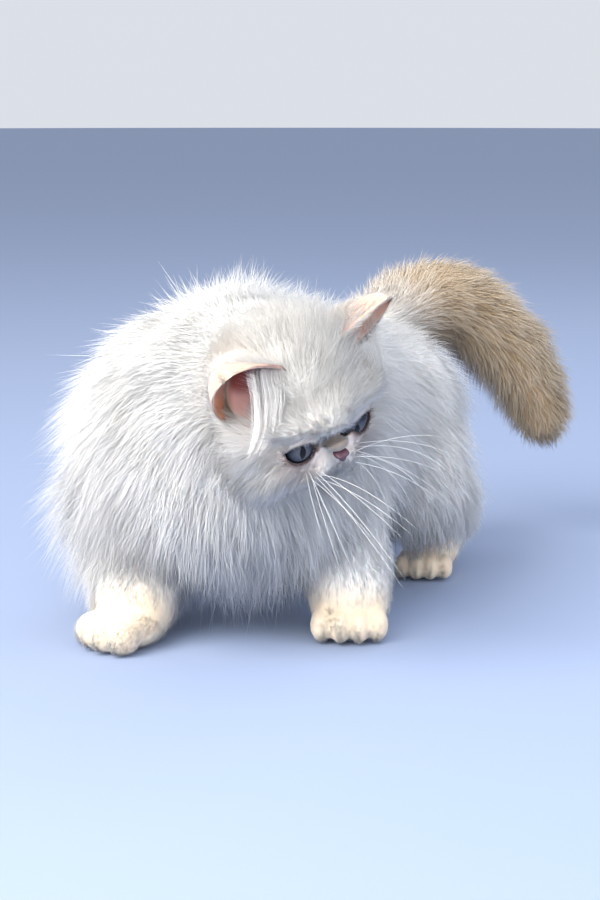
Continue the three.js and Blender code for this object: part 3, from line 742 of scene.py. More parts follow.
def scatter(points, quads, normals, density, count):
    """Roots at random over quads, as many for an area as density asks, with the normals there."""
    a, b, c, d = (points[quads[:, k]] for k in range(4))
    area = np.linalg.norm(np.cross(c - a, d - b), axis=1) / 2
    share = area * density
    pick = rng.choice(len(quads), count, p=share / share.sum())
    u, v = rng.random((2, count, 1))
    corner = quads[pick]
    weigh = [(1 - u) * (1 - v), u * (1 - v), u * v, (1 - u) * v]
    root = sum(w * points[corner[:, k]] for k, w in enumerate(weigh))
    normal = sum(w * normals[corner[:, k]] for k, w in enumerate(weigh))
    return root, unit(normal)


def unit(vectors):
    return vectors / np.maximum(np.linalg.norm(vectors, axis=-1, keepdims=True), 1e-9)


DOWN = np.array([0.0, 0, -1])


def lie_of(name, part, points, normal, which):
    """The way that the coat of a part runs at each point."""
    if name == "head":
        away = unit(to_head(points) - (33, 0, -4)) @ head_axes
        cheek = smooth(4, -14, to_head(points)[:, 2])[:, None]
        return unit(away + 0.5 * cheek * DOWN)
    if name == "neck":
        return unit(unit(points - HEAD_CENTRE) + 0.45 * DOWN)
    if name == "torso":
        side = np.abs(normal[:, :1])
        front = smooth(30, -20, points[:, 1])[:, None]
        return unit(np.array([0, 0.8, 0]) * (1 - 0.8 * front) + DOWN * (0.15 + 0.9 * side + 0.6 * front))
    if name == "tail":
        return part["way"][which]
    if name.startswith("paw"):
        return unit(part["way"][which] * 0.9 + 0.7 * DOWN)
    if name.startswith("lower"):
        return unit(part["way"][which] * 0.5 + DOWN)
    return unit(np.array([0, 0.15, 0]) + DOWN)


# How much a coat stands up: 0 lies flat on the skin, 1 stands straight out.
STAND = {"head": 0.42, "neck": 0.5, "torso": 0.5, "tail": 0.55, "upper": 0.46, "lower": 0.36, "paw": 0.2}


def flattened(way, normal):
    return way - normal * (way * normal).sum(1, keepdims=True)


def growth(points, normal):
    """For each root: the coat's depth, how much it stands up, its lie, and the part that it grows on."""
    total, coat, stand = np.zeros((3, len(points)))
    lie = np.zeros((len(points), 3))
    best, label = np.full(len(points), np.inf), np.zeros(len(points), int)
    for number, (name, part) in enumerate(PARTS.items()):
        distance, which = distance_to(part, points)
        weight = np.exp(-np.maximum(distance, -2) / 3.0)
        total += weight
        coat += weight * part["coat"][which]
        stand += weight * STAND[name.split("_")[0]]
        lie += weight[:, None] * lie_of(name, part, points, normal, which)
        nearer = distance < best
        best[nearer], label[nearer] = distance[nearer], number
    return coat / total, stand / total, unit(flattened(unit(lie), normal) + 1e-6), label


# %% [markdown]
# The coat's map is an unwrap of the skin's own shape: each part of the body has a tile, in which one side is
# the way along that part and the other the way round it. Every tuft is a small patch of its part's tile, at
# the place of its root, so neighbours on the body are neighbours on the map.

# %% A tile for each part
TILES = 5  # along each side of the map
PATCH = 0.003  # a tuft's own part of the map's side


def unwrap(points, normal, label):
    parts = list(PARTS.values())
    way = unit(np.array([part["way"].mean(0) for part in parts])[label])
    side = unit(np.cross(way, (0.3, 0.2, 0.93)))
    up = np.cross(side, way)
    around = np.arctan2((normal * side).sum(1), (normal * up).sum(1)) / (2 * math.pi) + 0.5
    centre = np.array([part["centre"].mean(0) for part in parts])[label]
    reach = ((points - centre) * way).sum(1)
    spans = [np.abs((part["centre"] - part["centre"].mean(0)) @ unit(part["way"].mean(0))).max()
             + part["radii"].max() for part in parts]
    extent = np.array(spans)[label]
    along_part = np.clip(0.5 + 0.5 * reach / extent, 0, 1)
    tile = np.stack([label % TILES, label // TILES], 1)
    return (tile + 0.05 + 0.88 * np.stack([around, along_part], 1)) / TILES


print("tiles of the map:", TILES**2, "for", len(PARTS), "parts")

# %% [markdown]
# A tuft is a thin, closed taper of three sides that stands for some dozens of hairs, because a kitten has far
# too many to draw singly. It leaves the skin one way and ends another, so it bends. Tufts near each other lean
# to one guide, which gathers them into locks with open tips, as a long silky coat does. A tuft's normals lean
# to the skin's own, so light falls on the coat as on one soft mass and not on single spikes.

# %% Tufts from arrays
def tuft_paths(root, first, last, length, rows):
    t = np.linspace(0, 1, rows + 1)[None, :, None]
    return root[:, None] + length[:, None, None] * (first[:, None] * t + (last - first)[:, None] * t**2 / 2)


def gathered(paths, spacing, pull):
    """Pulls each path to that of the nearest guide, more and more towards the tip."""
    count = max(1, int(len(paths) / spacing))
    guides = rng.choice(len(paths), count, replace=False)
    tree = KDTree(count)
    for i, g in enumerate(guides):
        tree.insert(paths[g, 0], i)
    tree.balance()
    nearest = np.array([tree.find(p)[1] for p in paths[:, 0]])
    target = paths[guides[nearest]]
    t = np.linspace(0, 1, paths.shape[1])[None, :, None]
    return paths + (target - paths) * (pull[:, None, None] * t**1.4)


WAVES = rng.normal(0, 1, (3, 4, 3)) / 9.0  # three ways, four waves each, some 40 to 90 mm long
PHASES = rng.uniform(0, 2 * math.pi, (3, 4))


def sway(points):
    """A gentle drift of the lie over the body, the same for neighbours, as in a coat that was never combed."""
    return np.sin(np.einsum("pk,awk->paw", points, WAVES) + PHASES[None]).mean(2) * 2


SECTION = np.array([[0.0, 0.5], [-1.0, -0.3], [1.0, -0.3]])  # a tuft cut across, in half widths
TO_SKIN, TO_OWN = 1.9, 0.35  # how much a tuft's normals follow the skin and its own sides


def tuft_mesh(paths, normal, width, uv, colour):
    n, rings = paths.shape[0], paths.shape[1] - 1
    ahead = unit(np.gradient(paths, axis=1))
    twist = rng.uniform(-0.7, 0.7, (n, 1, 1))
    side = unit(np.cross(ahead, normal[:, None]) + 1e-6)
    side = unit(side * np.cos(twist) + np.cross(ahead, side) * np.sin(twist))
    up = np.cross(side, ahead)
    t = np.arange(rings) / rings
    profile = (0.8 + 0.4 * t) * (1 - t) ** 0.7
    wide = width[:, None] * 0.5 * profile[None]
    wide = wide[..., None, None]
    ring = (paths[:, :rings, None]
            + side[:, :rings, None] * (SECTION[:, 0][None, None, :, None] * wide)
            + up[:, :rings, None] * (SECTION[:, 1][None, None, :, None] * wide))
    points = np.concatenate([ring.reshape(n, rings * 3, 3), paths[:, -1:]], 1)
    each = rings * 3 + 1
    faces = [[0, 1, 2]]
    for r in range(rings - 1):
        for k in range(3):
            a, b = r * 3 + k, r * 3 + (k + 1) % 3
            faces += [[a, b + 3, b], [a, a + 3, b + 3]]
    last = (rings - 1) * 3
    faces += [[last + (k + 1) % 3, last + k, each - 1] for k in range(3)]
    faces = (np.array(faces)[None] + (np.arange(n) * each)[:, None, None]).reshape(-1, 3)
    rise = np.concatenate([np.repeat(t, 3), [1.0]])
    across = np.concatenate([np.tile([0.5, 0.0, 1.0], rings), [0.5]])
    patch = np.stack([across, rise], 1)[None] * PATCH
    uvs = (uv[:, None] + patch).reshape(-1, 2)
    # painted shade: each tuft is darker towards its root, deep in the coat
    shade = 0.93 + 0.07 * smooth(0, 0.6, rise)
    colours = (colour[:, None] * shade[None, :, None]).reshape(-1, 3)
    own = np.concatenate([np.repeat(up[:, :rings], 3, 1) * np.tile(SECTION[:, 1] * 2, rings)[None, :, None]
                          + np.repeat(side[:, :rings], 3, 1) * np.tile(SECTION[:, 0], rings)[None, :, None],
                          up[:, -1:]], 1)
    lean = unit(normal[:, None] * TO_SKIN + own * TO_OWN).reshape(-1, 3)
    return points.reshape(-1, 3), faces, uvs, colours, lean


# %% [markdown]
# The coat is cut into regions, so that no piece is too large to handle. Hair that would reach more than 11 mm
# past the box of the solids is held at that limit, so the dressed kitten keeps its real size, and no hair goes
# through the floor.

# %% One piece of coat
FUZZ = 11.0  # millimetres that hair may reach past the solids' own box
FLOOR_GAP = 0.8  # millimetres that hair stays above the floor
ROOT_DEPTH = 0.6  # millimetres from the skin down to a root
LOCK = 12  # tufts gathered into one lock
coat_triangles = 0
box_low, box_high = (np.array(corner) * 1000 - SHIFT for corner in cad_box)
box_low, box_high = box_low - FUZZ, box_high + FUZZ
coat_low = np.maximum(box_low, (-np.inf, -np.inf, FLOOR_GAP))
print("hair stays between", coat_low.round(1), "and", box_high.round(1))


def coat_piece(name, root, normal, length, stand, lie, width, rows, clump, pull, droop, wild):
    """Tufts with these roots: rows of faces in each, clump tufts to a lock, pulled and jittered as given."""
    global coat_triangles
    n = len(root)
    jitter = rng.normal(0, wild, (n, 3)) + 0.2 * sway(root)
    first = unit(normal * stand[:, None] + lie * (1 - stand)[:, None] + jitter)
    jitter = jitter + rng.normal(0, wild, (n, 3))
    last = unit(normal * (stand * 0.55)[:, None] + lie * (1.15 - stand)[:, None] + droop * DOWN + jitter)
    paths = tuft_paths(root - normal * ROOT_DEPTH, first, last, length, rows)
    paths = gathered(paths, clump, pull)  # into locks
    paths = gathered(paths, clump * 8, pull * 0.45)  # and these into broader ones
    paths = np.clip(paths, coat_low, box_high)
    uv = unwrap(root, normal, growth(root, normal)[3])
    points, faces, uvs, colours, lean = tuft_mesh(paths, normal, width, uv, markings(root))
    piece = piece_from(name, points, faces, coat_material, colours, uvs, lean)
    coat_triangles += len(faces)
    print(name, n, "tufts", len(faces), "triangles")


# %% [markdown]
# The long coat of the body has two layers, as the real one has. The outer one is long tufts in locks. Under and
# between them grows down: twice as many tufts, shorter, finer and less in order, which fill the gaps so that no
# skin shows. On the back the hair is a little shorter, and a fringe hangs from the chest.

# %% Coat of the body
body_normals = normals_of(body_points, body_quads)
head_normals = normals_of(head_points, head_quads)
quad_middle = body_points[body_quads].mean(1)
body_label = growth(quad_middle, unit(np.ones_like(quad_middle)))[3]
part_names = list(PARTS)


def on_parts(*starts):
    wanted = [i for i, name in enumerate(part_names) if name.startswith(starts)]
    return np.isin(body_label, wanted).astype(float)


def body_coat(name, where, count, rows=2, width=0.34, pull=0.36, longer=1.06, droop=0.2, wild=0.16):
    root, normal = scatter(body_points, body_quads, body_normals, where, count)
    coat, stand, lie, _ = growth(root, normal)
    wisp = 0.06 * smooth(0.2, 0.8, -normal[:, 0]) * smooth(115, 70, root[:, 2])
    fringe = 0.2 * smooth(40, 0, root[:, 1]) * smooth(75, 50, root[:, 2])
    top = 0.26 * smooth(0.5, 0.9, normal[:, 2])
    length = coat * (longer + wisp + fringe - top) * rng.uniform(0.7, 1.1, count)
    wide = width * rng.uniform(0.7, 1.2, count)
    pulls = pull * rng.uniform(0.4, 1.0, count)
    coat_piece(name, root, normal, length, stand, lie, wide, rows, LOCK, pulls, droop, wild)


front = smooth(70, 30, quad_middle[:, 1])
torso_where = on_parts("torso", "upper")
DOWN_SHARE = 2.2  # tufts of down to each long one
REGIONS = (  # name, where it grows, slot, long tufts and how much they hang
    ("shoulders", torso_where * front, "white_coat", 10500, 0.2),
    ("flanks", torso_where * (1 - front), "white_coat", 10500, 0.2),
    ("ruff", on_parts("neck"), "white_coat", 10500, 0.3),
    ("tail", on_parts("tail"), "cream_coat", 8000, 0.2),
    ("legs", on_parts("lower"), "white_coat", 7000, 0.2),
)
for name, where, slot, count, droop in REGIONS:
    body_coat("coat_" + name, where, count, droop=droop)
    body_coat("down_" + name, where, int(count * DOWN_SHARE),
              rows=1, width=0.3, pull=0.2, longer=0.75, droop=droop, wild=0.3)
body_coat("coat_paws", on_parts("paw"), 24000,
          rows=1, width=0.24, pull=0.12, longer=1.1, wild=0.07)


# %% [markdown]
# On the head the hair is shortest, and it changes quickly: velvet round the nose and eyes, a brush on the
# brow, longer cheeks. So its length is read from the distance to the nose and the eyes, in the head's frame.

# %% Coat of the head
def head_length(h):
    left = mirrored_left(h)
    nose = from_place(h, (31, 0, -5))
    eye = from_place(left, EYE + (8, 0.5, 1))
    brow = 1.8 + 4.5 * smooth(6, 17, nose) + 8 * smooth(16, 38, nose)
    muzzle = 2.2 * smooth(-5, -10, h[:, 2]) * smooth(20, 8, nose)
    cheek = smooth(9, 24, left[:, 1]) * smooth(8, -12, h[:, 2])
    ear_foot = from_place(left, (6, 14, 30))
    length = brow + muzzle + 14 * cheek + 5 * smooth(17, 8, ear_foot)
    above = smooth(0, 3, h[:, 2] - EYE[2] - 2.5)
    return np.minimum(length, 1.9 + 1.0 * above + 1.3 * np.maximum(eye - 6.2, 0))


def in_opening(h):
    """True where a root would stand on an eyeball, on the nose pad or in the bowl of an ear."""
    closed = np.zeros(len(h), bool)
    for side in SIDES.values():
        local = in_eye_axes(h, side)
        closed |= (np.linalg.norm(local, axis=1) < EYE_RADIUS + 0.6) & (local[:, 0] > 0)
        bowl = from_bowl(h, side)
        closed |= np.linalg.norm(bowl / (EAR["bowl_size"] + 0.5), axis=1) < 1
        closed |= (np.linalg.norm(bowl, axis=1) < 14) & (h[:, 0] < 1)
    closed |= np.linalg.norm((h - NOSE - (0.5, 0, -0.8)) / (4.0, 3.9, 3.0), axis=1) < 1
    return closed


head_middle = to_head(head_points[head_quads].mean(1))
open_face = ~in_opening(head_middle)
face_share = smooth(2, 22, head_middle[:, 0])
for name, where, count, width in (
    ("coat_face", open_face * face_share, 30000, 0.27),
    ("coat_crown", open_face * (1 - face_share), 30000, 0.31),
):
    root, normal = scatter(head_points, head_quads, head_normals, where, count)
    _, stand, lie, _ = growth(root, normal)
    length = head_length(to_head(root)) * rng.uniform(0.75, 1.15, count)
    wide = width * rng.uniform(0.7, 1.2, count)
    pulls = np.full(count, 0.3)
    coat_piece(name, root, normal, length, stand, lie, wide, 1, 9, pulls, 0.08, 0.19)
print("coat so far:", coat_triangles, "triangles")

# %% [markdown]
# An ear is furred behind and bare within. A row of hair also stands out all round its margin, which softens
# the edge. All of it runs to the tip of the ear, and it is shortest there.

# %% Coat of the ears
BEHIND, ON_MARGIN = 9000, 2400  # tufts
for name, side in SIDES.items():
    points, quads, s, t = ears[name]
    points = from_head(points)
    ear_normals = normals_of(points, quads)
    tip = from_head(EAR["tip"] * (1, side, 1) * (1, 1.1, 1.1))
    behind = quads.min(1) >= len(points) // 2
    margin = (np.minimum(s, 1 - s) < 0.03)[quads].any(1) & (t[quads[:, 0]] < 0.93)
    grown = [scatter(points, quads, ear_normals, behind.astype(float), BEHIND),
             scatter(points, quads, ear_normals, margin.astype(float), ON_MARGIN)]
    centre = from_head(ear_point(np.array([0.5]), np.array([0.35]), side, 0.0))
    root, normal = (np.vstack(pair) for pair in zip(*grown))
    count = len(root)
    from_tip = np.linalg.norm(root - tip, axis=1)
    outward = np.where(np.arange(count) < BEHIND, 0.0, 0.8)[:, None]
    lie = unit(flattened(unit(unit(tip - root) + outward * unit(root - centre)), normal))
    length = (2.6 + 7.5 * smooth(10, 36, from_tip)) * rng.uniform(0.7, 1.2, count)
    length[BEHIND:] = rng.uniform(1.5, 3.5, ON_MARGIN)
    stand, wide, pulls = np.full(count, 0.3), np.full(count, 0.2), np.full(count, 0.3)
    coat_piece("coat_ear_" + name, root, normal, length, stand, lie, wide, 1, 6, pulls, 0.0, 0.12)

# %% [markdown]
# From the inner margin of each ear a brush of long, fine, white hair sweeps over the opening and hangs down
# beside it. These hairs follow one broad curve, so they are drawn along it, not grown from the skin's normals.
# They hang free, and light that goes through so thin a bundle is lost, so their material lets none in.

# %% Brush of hair in each ear
BRUSH = {  # the brush's two edges, in the head's frame
    "root": [(6, 15, 31), (7, 32, 36)],
    "over": [(22, 20, 20), (17, 32, 18)],
    "end": [(17, 36, -5), (15, 38, -4)],
}
HAIRS = 190  # in each ear


def opaque_hair():
    """Thick guard hair with air in its core: white at its very surface, where finer hair lets light in."""
    m = new_material("opaque_hair")
    marking = add_node(m, "ShaderNodeAttribute", attribute_name="marking")
    shader = add_node(m, "ShaderNodeBsdfPrincipled", {
        "Base Color": marking.outputs["Color"], "Roughness": 0.7, "IOR": 1.45, "Sheen Weight": 0.2,
    })
    return finish_material(m, shader)


brush_material = opaque_hair()


def ear_brush(side, count=HAIRS, rows=5):
    u = rng.random((count, 1))
    ends = [np.array(a) + (np.array(b, float) - a) * u for a, b in BRUSH.values()]
    root, over, end = (p * (1, side, 1) for p in ends)
    root = root + rng.normal(0, 1.0, (count, 3))
    over = over + rng.normal(0, 1.3, (count, 3))
    share = rng.uniform(0.3, 1.0, (count, 1))
    end = over + (end + rng.normal(0, 0.9, (count, 3)) - over) * share
    t = np.linspace(0, 1, rows + 1)[None, :, None]
    paths = root[:, None] * (1 - t) ** 2 + 2 * over[:, None] * t * (1 - t) + end[:, None] * t**2
    return from_head(paths)


for name, side in SIDES.items():
    paths = gathered(ear_brush(side), LOCK, np.full(HAIRS, 0.4))
    count = len(paths)
    facing = unit(np.tile((side * 0.8 * head_axes[1] + 0.6 * head_axes[2])[None], (count, 1)))
    uv = unwrap(paths[:, 0], facing, np.full(count, part_names.index("head")))
    wide = rng.uniform(0.08, 0.13, count)
    points, faces, uvs, colours, lean = tuft_mesh(paths, facing, wide, uv, np.tile(WHITE, (count, 1)))
    brush = piece_from("coat_brush_" + name, points, faces, brush_material, colours, uvs, lean)
    coat_triangles += len(faces)
    print("coat_brush_" + name, count, "hairs", len(faces), "triangles")

# %% [markdown]
# ## Eyes
# A kitten's eye fills its lids: no white shows. The ball is a little proud over the iris, like the real
# cornea, and one clear coat gives it its wet shine. The iris has fibres that run out from a slit pupil, and a
# dark ring. Each ball has its own axes, with z looking out of it, so the iris can be drawn round that axis.

# %% Eyes
GAZE = {"right": (0.92, -0.24, 0.25), "left": (0.98, -0.22, -0.08)}  # in the head's frame
IRIS = 6.2  # half its width, in millimetres
SLIT = {"half_height": 3.6, "half_width": 1.3, "soft": 0.1}  # millimetres
PUPIL_BLACK = (0.004, 0.004, 0.006, 1)
IRIS_RINGS = [(0.0, "#3c4049"), (0.35, "#52555d"), (0.68, "#363a46"), (0.82, "#1c1e26"), (0.92, "#0e0e11"),
              (1.0, "#090808")]  # from the middle out


def wet_iris():
    m = new_material("wet_iris")
    place = add_node(m, "ShaderNodeTexCoord")
    split = add_node(m, "ShaderNodeSeparateXYZ", {0: place.outputs["Object"]})
    x2 = add_node(m, "ShaderNodeMath", {0: split.outputs["X"], 1: split.outputs["X"]}, operation="MULTIPLY")
    y2 = add_node(m, "ShaderNodeMath", {0: split.outputs["Y"], 1: split.outputs["Y"]}, operation="MULTIPLY")
    r2 = add_node(m, "ShaderNodeMath", {0: x2.outputs[0], 1: y2.outputs[0]}, operation="ADD")
    r = add_node(m, "ShaderNodeMath", {0: r2.outputs[0]}, operation="SQRT")
    turn = add_node(m, "ShaderNodeMath", {0: split.outputs["Y"], 1: split.outputs["X"]}, operation="ARCTAN2")
    polar = add_node(m, "ShaderNodeCombineXYZ", {"X": turn.outputs[0], "Y": r.outputs[0]})
    stretch = add_node(m, "ShaderNodeMapping", {"Vector": polar.outputs[0], "Scale": (9.0, 260.0, 1.0)})
    fibre = add_node(m, "ShaderNodeTexNoise", {"Vector": stretch.outputs[0], "Scale": 1.6, "Detail": 3.0})
    ring = add_node(m, "ShaderNodeMapRange", {"Value": r.outputs[0], "From Max": IRIS / 1000})
    ramp = add_node(m, "ShaderNodeValToRGB", {"Fac": ring.outputs[0]})
    ramp.color_ramp.elements.remove(ramp.color_ramp.elements[1])
    for part_out, hex_colour in IRIS_RINGS:
        element = ramp.color_ramp.elements.new(part_out)
        element.color = (*linear(hex_colour), 1)
    ramp.color_ramp.elements.remove(ramp.color_ramp.elements[0])
    fine = add_node(m, "ShaderNodeMapRange", {
        "Value": fibre.outputs["Fac"], "From Min": 0.3, "From Max": 0.7, "To Min": 0.72, "To Max": 1.15,
    })
    shaded = add_node(m, "ShaderNodeVectorMath", {
        0: ramp.outputs["Color"], 1: fine.outputs[0],
    }, operation="MULTIPLY")
    # The slit's half width at a height is that at the middle, times one less the square of the height's share.
    high = add_node(m, "ShaderNodeMath", {
        0: split.outputs["Y"], 1: SLIT["half_height"] / 1000,
    }, operation="DIVIDE")
    high2 = add_node(m, "ShaderNodeMath", {0: high.outputs[0], 1: high.outputs[0]}, operation="MULTIPLY")
    bow = add_node(m, "ShaderNodeMath", {0: 1.0, 1: high2.outputs[0]}, operation="SUBTRACT")
    aside = add_node(m, "ShaderNodeMath", {0: split.outputs["X"]}, operation="ABSOLUTE")
    wide = add_node(m, "ShaderNodeMath", {
        0: bow.outputs[0], 1: SLIT["half_width"] / 1000,
    }, operation="MULTIPLY")
    inside = add_node(m, "ShaderNodeMath", {0: wide.outputs[0], 1: aside.outputs[0]}, operation="SUBTRACT")
    slit = add_node(m, "ShaderNodeMapRange", {
        "Value": inside.outputs[0], "From Min": -SLIT["soft"] / 1000, "From Max": SLIT["soft"] / 1000,
    })
    colour = add_node(m, "ShaderNodeMix", {
        "Factor": slit.outputs[0], "A": shaded.outputs[0], "B": PUPIL_BLACK,
    }, data_type="RGBA")
    shader = add_node(m, "ShaderNodeBsdfPrincipled", {
        "Base Color": colour.outputs["Result"], "Roughness": 0.5, "IOR": 1.1,
        "Coat Weight": 0.6, "Coat Roughness": 0.02, "Coat IOR": 1.38,
    })
    return finish_material(m, shader)


def ball_mesh(around, down):
    """A ball of radius 1: its points, its faces of four corners and the caps at its two ends."""
    turn = np.linspace(0, 2 * math.pi, around, endpoint=False)
    tilt = np.linspace(0, math.pi, down + 1)[1:-1]
    ring = np.stack([np.outer(np.sin(tilt), np.cos(turn)), np.outer(np.sin(tilt), np.sin(turn)),
                     np.outer(np.cos(tilt), np.ones(around))], -1).reshape(-1, 3)
    points = np.vstack([ring, [[0, 0, 1]], [[0, 0, -1]]])
    faces, n = [], len(ring)
    for j in range(down - 2):
        for i in range(around):
            a, b = j * around + i, j * around + (i + 1) % around
            faces.append([a, a + around, b + around, b])
    caps = [[n, i, (i + 1) % around] for i in range(around)]
    last = n - around
    caps += [[n + 1, last + (i + 1) % around, last + i] for i in range(around)]
    return points, faces, caps


def placed(name, points, faces, material, matrix):
    mesh = bpy.data.meshes.new(name)
    mesh.from_pydata([tuple(p) for p in points], [], faces)
    mesh.update()
    mesh.polygons.foreach_set("use_smooth", np.full(len(faces), True))
    mesh.materials.append(material)
    piece = linked(name, mesh)
    piece.matrix_world = matrix
    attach(piece, "root")
    return piece


CORNEA = 0.5  # millimetres that it stands proud
EYE_PLAY = 0.15  # millimetres between the ball and its socket
iris_material = wet_iris()
for name, side in SIDES.items():
    points, faces, caps = ball_mesh(48, 40)
    tilt = np.degrees(np.arccos(np.clip(points[:, 2], -1, 1)))
    reach = (EYE_RADIUS - EYE_PLAY + CORNEA * smooth(42, 10, tilt)) / 1000
    gaze = unit(np.array(GAZE[name]) @ head_axes)
    up = unit(head_axes[2] - gaze * (head_axes[2] @ gaze))
    matrix = Matrix(np.column_stack([np.cross(up, gaze), up, gaze]).tolist()).to_4x4()
    matrix.translation = Vector(metres(from_head(eye_middle(side))))
    eye = placed("eyeball_" + name, points * reach[:, None], faces + caps, iris_material, matrix)
    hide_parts("eye_" + name)
print("eyes set")

# %% [markdown]
# ## Nose
# Nose leather is bare, pebbled skin, moist and pink. It is a small field of its own: a pad with two wings,
# comma nostrils and a groove down the middle.

# %% Nose
def nose_leather():
    m = new_material("nose_leather")
    place = add_node(m, "ShaderNodeTexCoord")
    pebble = add_node(m, "ShaderNodeTexVoronoi", {"Vector": place.outputs["Object"], "Scale": 2200.0})
    blotch = add_node(m, "ShaderNodeTexNoise", {
        "Vector": place.outputs["Object"], "Scale": 400.0, "Detail": 3.0,
    })
    tone = add_node(m, "ShaderNodeValToRGB", {"Fac": blotch.outputs["Fac"]})
    for element, hex_colour in zip(tone.color_ramp.elements, ("#3f2630", "#664552")):
        element.color = (*linear(hex_colour), 1)
    bump = add_node(m, "ShaderNodeBump", {
        "Height": pebble.outputs["Distance"], "Strength": 0.4, "Distance": 0.0002,
    })
    shader = add_node(m, "ShaderNodeBsdfPrincipled", {
        "Base Color": tone.outputs["Color"], "Roughness": 0.38, "Normal": bump.outputs["Normal"],
    })
    return finish_material(m, shader)


leather = Field(NOSE - 8, NOSE + 8, 0.2)
leather.ball(NOSE + (0.4, 0, -1.6), (2.6, 1.2, 2.1), soft=0.8)
for side in SIDES.values():
    leather.ball(NOSE + (0.3, side * 1.5, -0.3), (2.6, 1.8, 1.2), soft=1.0)  # wing
    leather.ball(NOSE + (2.6, side * 1.9, -0.7), (1.5, 0.9, 0.45), soft=0.3, hollow=True)  # nostril
groove(leather, [NOSE + (3.5, 0, 0.4), NOSE + (3.2, 0, -1.6), NOSE + (2.6, 0, -3.6)], 0.25, 0.3, 12)
nose_points, nose_quads = leather.mesh()
nose = piece_from("nose_pad", from_head(nose_points), nose_quads, nose_leather())
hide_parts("nose")
print("nose:", len(nose_quads), "faces")

# %% [markdown]
# ## Whiskers
# Whiskers are stiff white keratin, thick at the root and long in the taper. Each is a tube on a curve that
# leaves the whisker pad forward and sideways and then bends down under its own weight. They are shortened
# where they would pass the limit that the coat keeps to.

# %% Whiskers
def whisker_keratin():
    m = new_material("whisker_keratin")
    shader = add_node(m, "ShaderNodeBsdfPrincipled", {
        "Base Color": (*linear("#f7f6f3"), 1), "Roughness": 0.3, "IOR": 1.55,
    })
    return finish_material(m, shader)


def tube(path, radius, sides=6):
    ahead = unit(np.gradient(path, axis=0))
    side = unit(np.cross(ahead, (0.31, 0.22, 0.92)))
    up = np.cross(side, ahead)
    turn = np.arange(sides) * 2 * math.pi / sides
    ring = (path[:, None] + radius[:, None, None] * (side[:, None] * np.cos(turn)[None, :, None]
                                                      + up[:, None] * np.sin(turn)[None, :, None]))
    rows = len(path)
    ids = np.arange(rows * sides).reshape(rows, sides)
    a, b = ids[:-1], np.roll(ids[:-1], -1, 1)
    c, d = np.roll(ids[1:], -1, 1), ids[1:]
    faces = np.concatenate([np.stack(corners, -1).reshape(-1, 3) for corners in ((a, b, c), (a, c, d))])
    caps = [[0, k + 1, k] for k in range(1, sides - 1)]
    caps += [[ids[-1, 0], ids[-1, k], ids[-1, k + 1]] for k in range(1, sides - 1)]
    return ring.reshape(-1, 3), np.vstack([faces, np.array(caps)])


WHISKER_TIPS = {  # in the head's frame
    "right": [(75, -6, -10), (82, 0, -6), (87, -8, 0), (88, -16, -15), (97, -22, -13), (66, -30, -18),
              (74, -26, -24), (60, -34, -8), (70, -20, -4)],
    "left": [(63, 58, 3), (70, 50, -17), (78, 44, -32), (62, 40, -31), (50, 30, -41), (44, 24, -49),
             (66, 52, -6), (58, 46, -22), (56, 36, -36)],
}
WHISKER_ROOT = np.array([28.0, 8.5, -12.5])
TIP_RADIUS, ROOT_SWELL = 0.018, 0.068  # millimetres
whiskers = []
for name, side in SIDES.items():
    for i, tip in enumerate(WHISKER_TIPS[name]):
        start = WHISKER_ROOT * (1, side, 1) + (-2.0 * (i // 3), side * 1.3 * (i // 3), 2.2 - 2.2 * (i % 3))
        t = np.linspace(0, 1, 18)[:, None]
        reach = np.array(tip) - start
        here, there = from_head([start, tip])[:, 0]
        reach = reach * min(1.0, (box_high[0] - here) / max(there - here, 1.0))
        rise = np.linalg.norm(reach) * rng.uniform(0.12, 0.32) * np.array((0, side * 0.4, 1.0))
        path = from_head(start + reach * t + rise * (t - t**2) * 2.2)
        path = np.clip(path, box_low, box_high)
        whiskers.append(tube(path, ROOT_SWELL * (1 - t[:, 0]) ** 0.7 + TIP_RADIUS))
whisker_points, whisker_faces = joined(whiskers)
whisker = piece_from("whiskers", whisker_points, whisker_faces, whisker_keratin())
print("whiskers:", len(whiskers))

# %% [markdown]
# ## Floor, light and camera
# The kitten stands on a wide disc of matt paper in a soft blue, so that white fur reads against it. The paper
# is a little deeper in tone far out and ends before a pale, even room. One large soft light stands on the
# kitten's right, where the photo has its own, with a weaker one in front, a cool fill on the other side and a
# faint one behind. The camera has a long lens, at the photo's own height and angle.

# %% Floor
PAPER_RADIUS = 9  # metres


def matt_paper():
    m = new_material("matt_paper")
    place = add_node(m, "ShaderNodeTexCoord")
    fibre = add_node(m, "ShaderNodeTexNoise", {
        "Vector": place.outputs["Object"], "Scale": 900.0, "Detail": 3.0,
    })
    bump = add_node(m, "ShaderNodeBump", {
        "Height": fibre.outputs["Fac"], "Strength": 0.1, "Distance": 0.0002,
    })
    out = add_node(m, "ShaderNodeVectorMath", {0: place.outputs["Object"]}, operation="LENGTH")
    fade = add_node(m, "ShaderNodeMapRange", {
        "Value": out.outputs["Value"], "From Min": 1.2, "From Max": 5.0,
    }, interpolation_type="SMOOTHSTEP")
    tone = add_node(m, "ShaderNodeMix", {
        "Factor": fade.outputs[0], "A": (*linear("#94a3c2"), 1), "B": (*linear("#8f9ebc"), 1),
    }, data_type="RGBA")
    shader = add_node(m, "ShaderNodeBsdfPrincipled", {
        "Base Color": tone.outputs["Result"], "Roughness": 0.9, "Normal": bump.outputs["Normal"],
    })
    return finish_material(m, shader)


def paper_disc():
    turn = np.linspace(0, 2 * math.pi, 96, endpoint=False)
    points = [(PAPER_RADIUS * math.cos(a), PAPER_RADIUS * math.sin(a), 0.0) for a in turn]
    mesh = bpy.data.meshes.new("paper_disc")
    mesh.from_pydata(points, [], [tuple(range(len(points)))])
    mesh.materials.append(matt_paper())
    piece = linked("paper_disc", mesh)


paper_disc()
print("floor:", PAPER_RADIUS, "metres round the kitten")


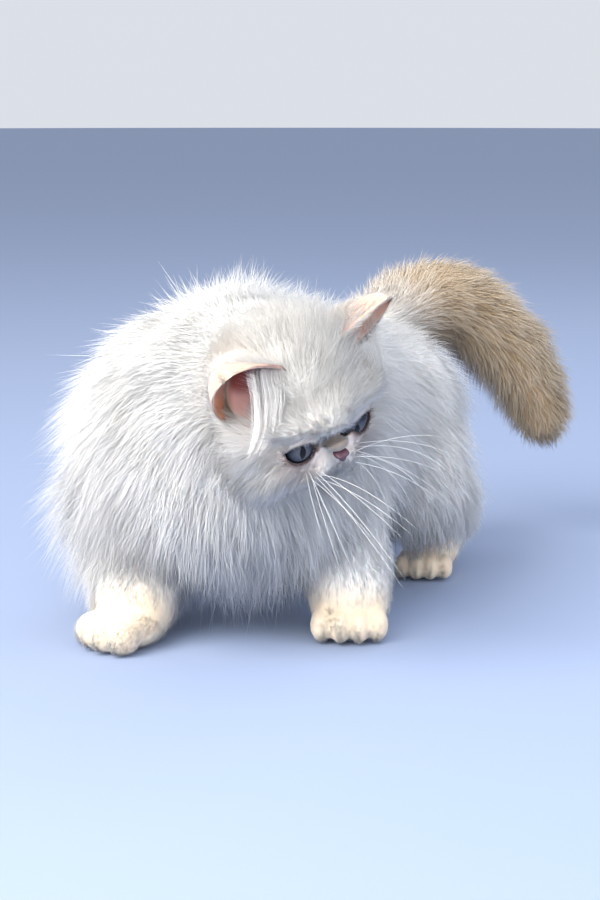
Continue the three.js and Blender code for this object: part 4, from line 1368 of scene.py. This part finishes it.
# %% Lights
def soft_light(name, at, aim, size, power, colour):
    data = bpy.data.lights.new(name, "AREA")
    data.shape, data.size, data.energy = "DISK", size, power
    data.color = linear(colour)
    light = linked(name, data)
    light.location = at
    light.rotation_euler = (Vector(aim) - Vector(at)).to_track_quat("-Z", "Y").to_euler()


ROOM = "#e6ebf3"
MIDDLE = (0.0, 0.0, 0.08)
soft_light("key", (-0.55, -1.15, 1.0), MIDDLE, 1.3, 38, "#fffaf2")
soft_light("front", (0.25, -1.4, 0.7), MIDDLE, 1.2, 16, "#fffdf9")
soft_light("fill", (1.2, -0.3, 0.6), MIDDLE, 1.0, 5, "#eef3ff")
soft_light("back", (0.3, 1.0, 1.1), MIDDLE, 0.8, 4, "#e6efff")
world = bpy.data.worlds.new("soft_room")
world.use_nodes = True
world.node_tree.nodes["Background"].inputs["Color"].default_value = (*linear(ROOM), 1)
world.node_tree.nodes["Background"].inputs["Strength"].default_value = 0.9
bpy.context.scene.world = world
bpy.context.scene.view_settings.view_transform = "Standard"

# %% Camera
# Degrees round the kitten's left and down, the lens for a sensor 36 mm wide, and millimetres of place.
CAMERA = {"turn": 20, "tilt": 10, "lens": 85, "sensor": 36, "aim_aside": 27, "away": 875, "height": 239}
turn, tilt = math.radians(CAMERA["turn"]), math.radians(CAMERA["tilt"])
right = np.array([math.cos(turn), math.sin(turn), 0])
behind = np.array([math.sin(turn) * math.cos(tilt), -math.cos(turn) * math.cos(tilt), math.sin(tilt)])
over = np.cross(behind, right)
place = CAMERA["aim_aside"] * right + CAMERA["away"] * np.array([math.sin(turn), -math.cos(turn), 0])
place = place + (0, 0, CAMERA["height"])
camera_data = bpy.data.cameras.new("photo_view")
camera_data.lens, camera_data.sensor_width = CAMERA["lens"], CAMERA["sensor"]
camera_data.clip_start = 0.02
camera = linked("photo_view", camera_data)
matrix = Matrix(np.column_stack([right, over, behind]).tolist()).to_4x4()
matrix.translation = Vector(metres(place))
camera.matrix_world = matrix
bpy.context.scene.camera = camera
print("camera at", [round(v, 3) for v in camera.location])

# %% The coat's size, then the end
print("triangles in the coat:", coat_triangles)
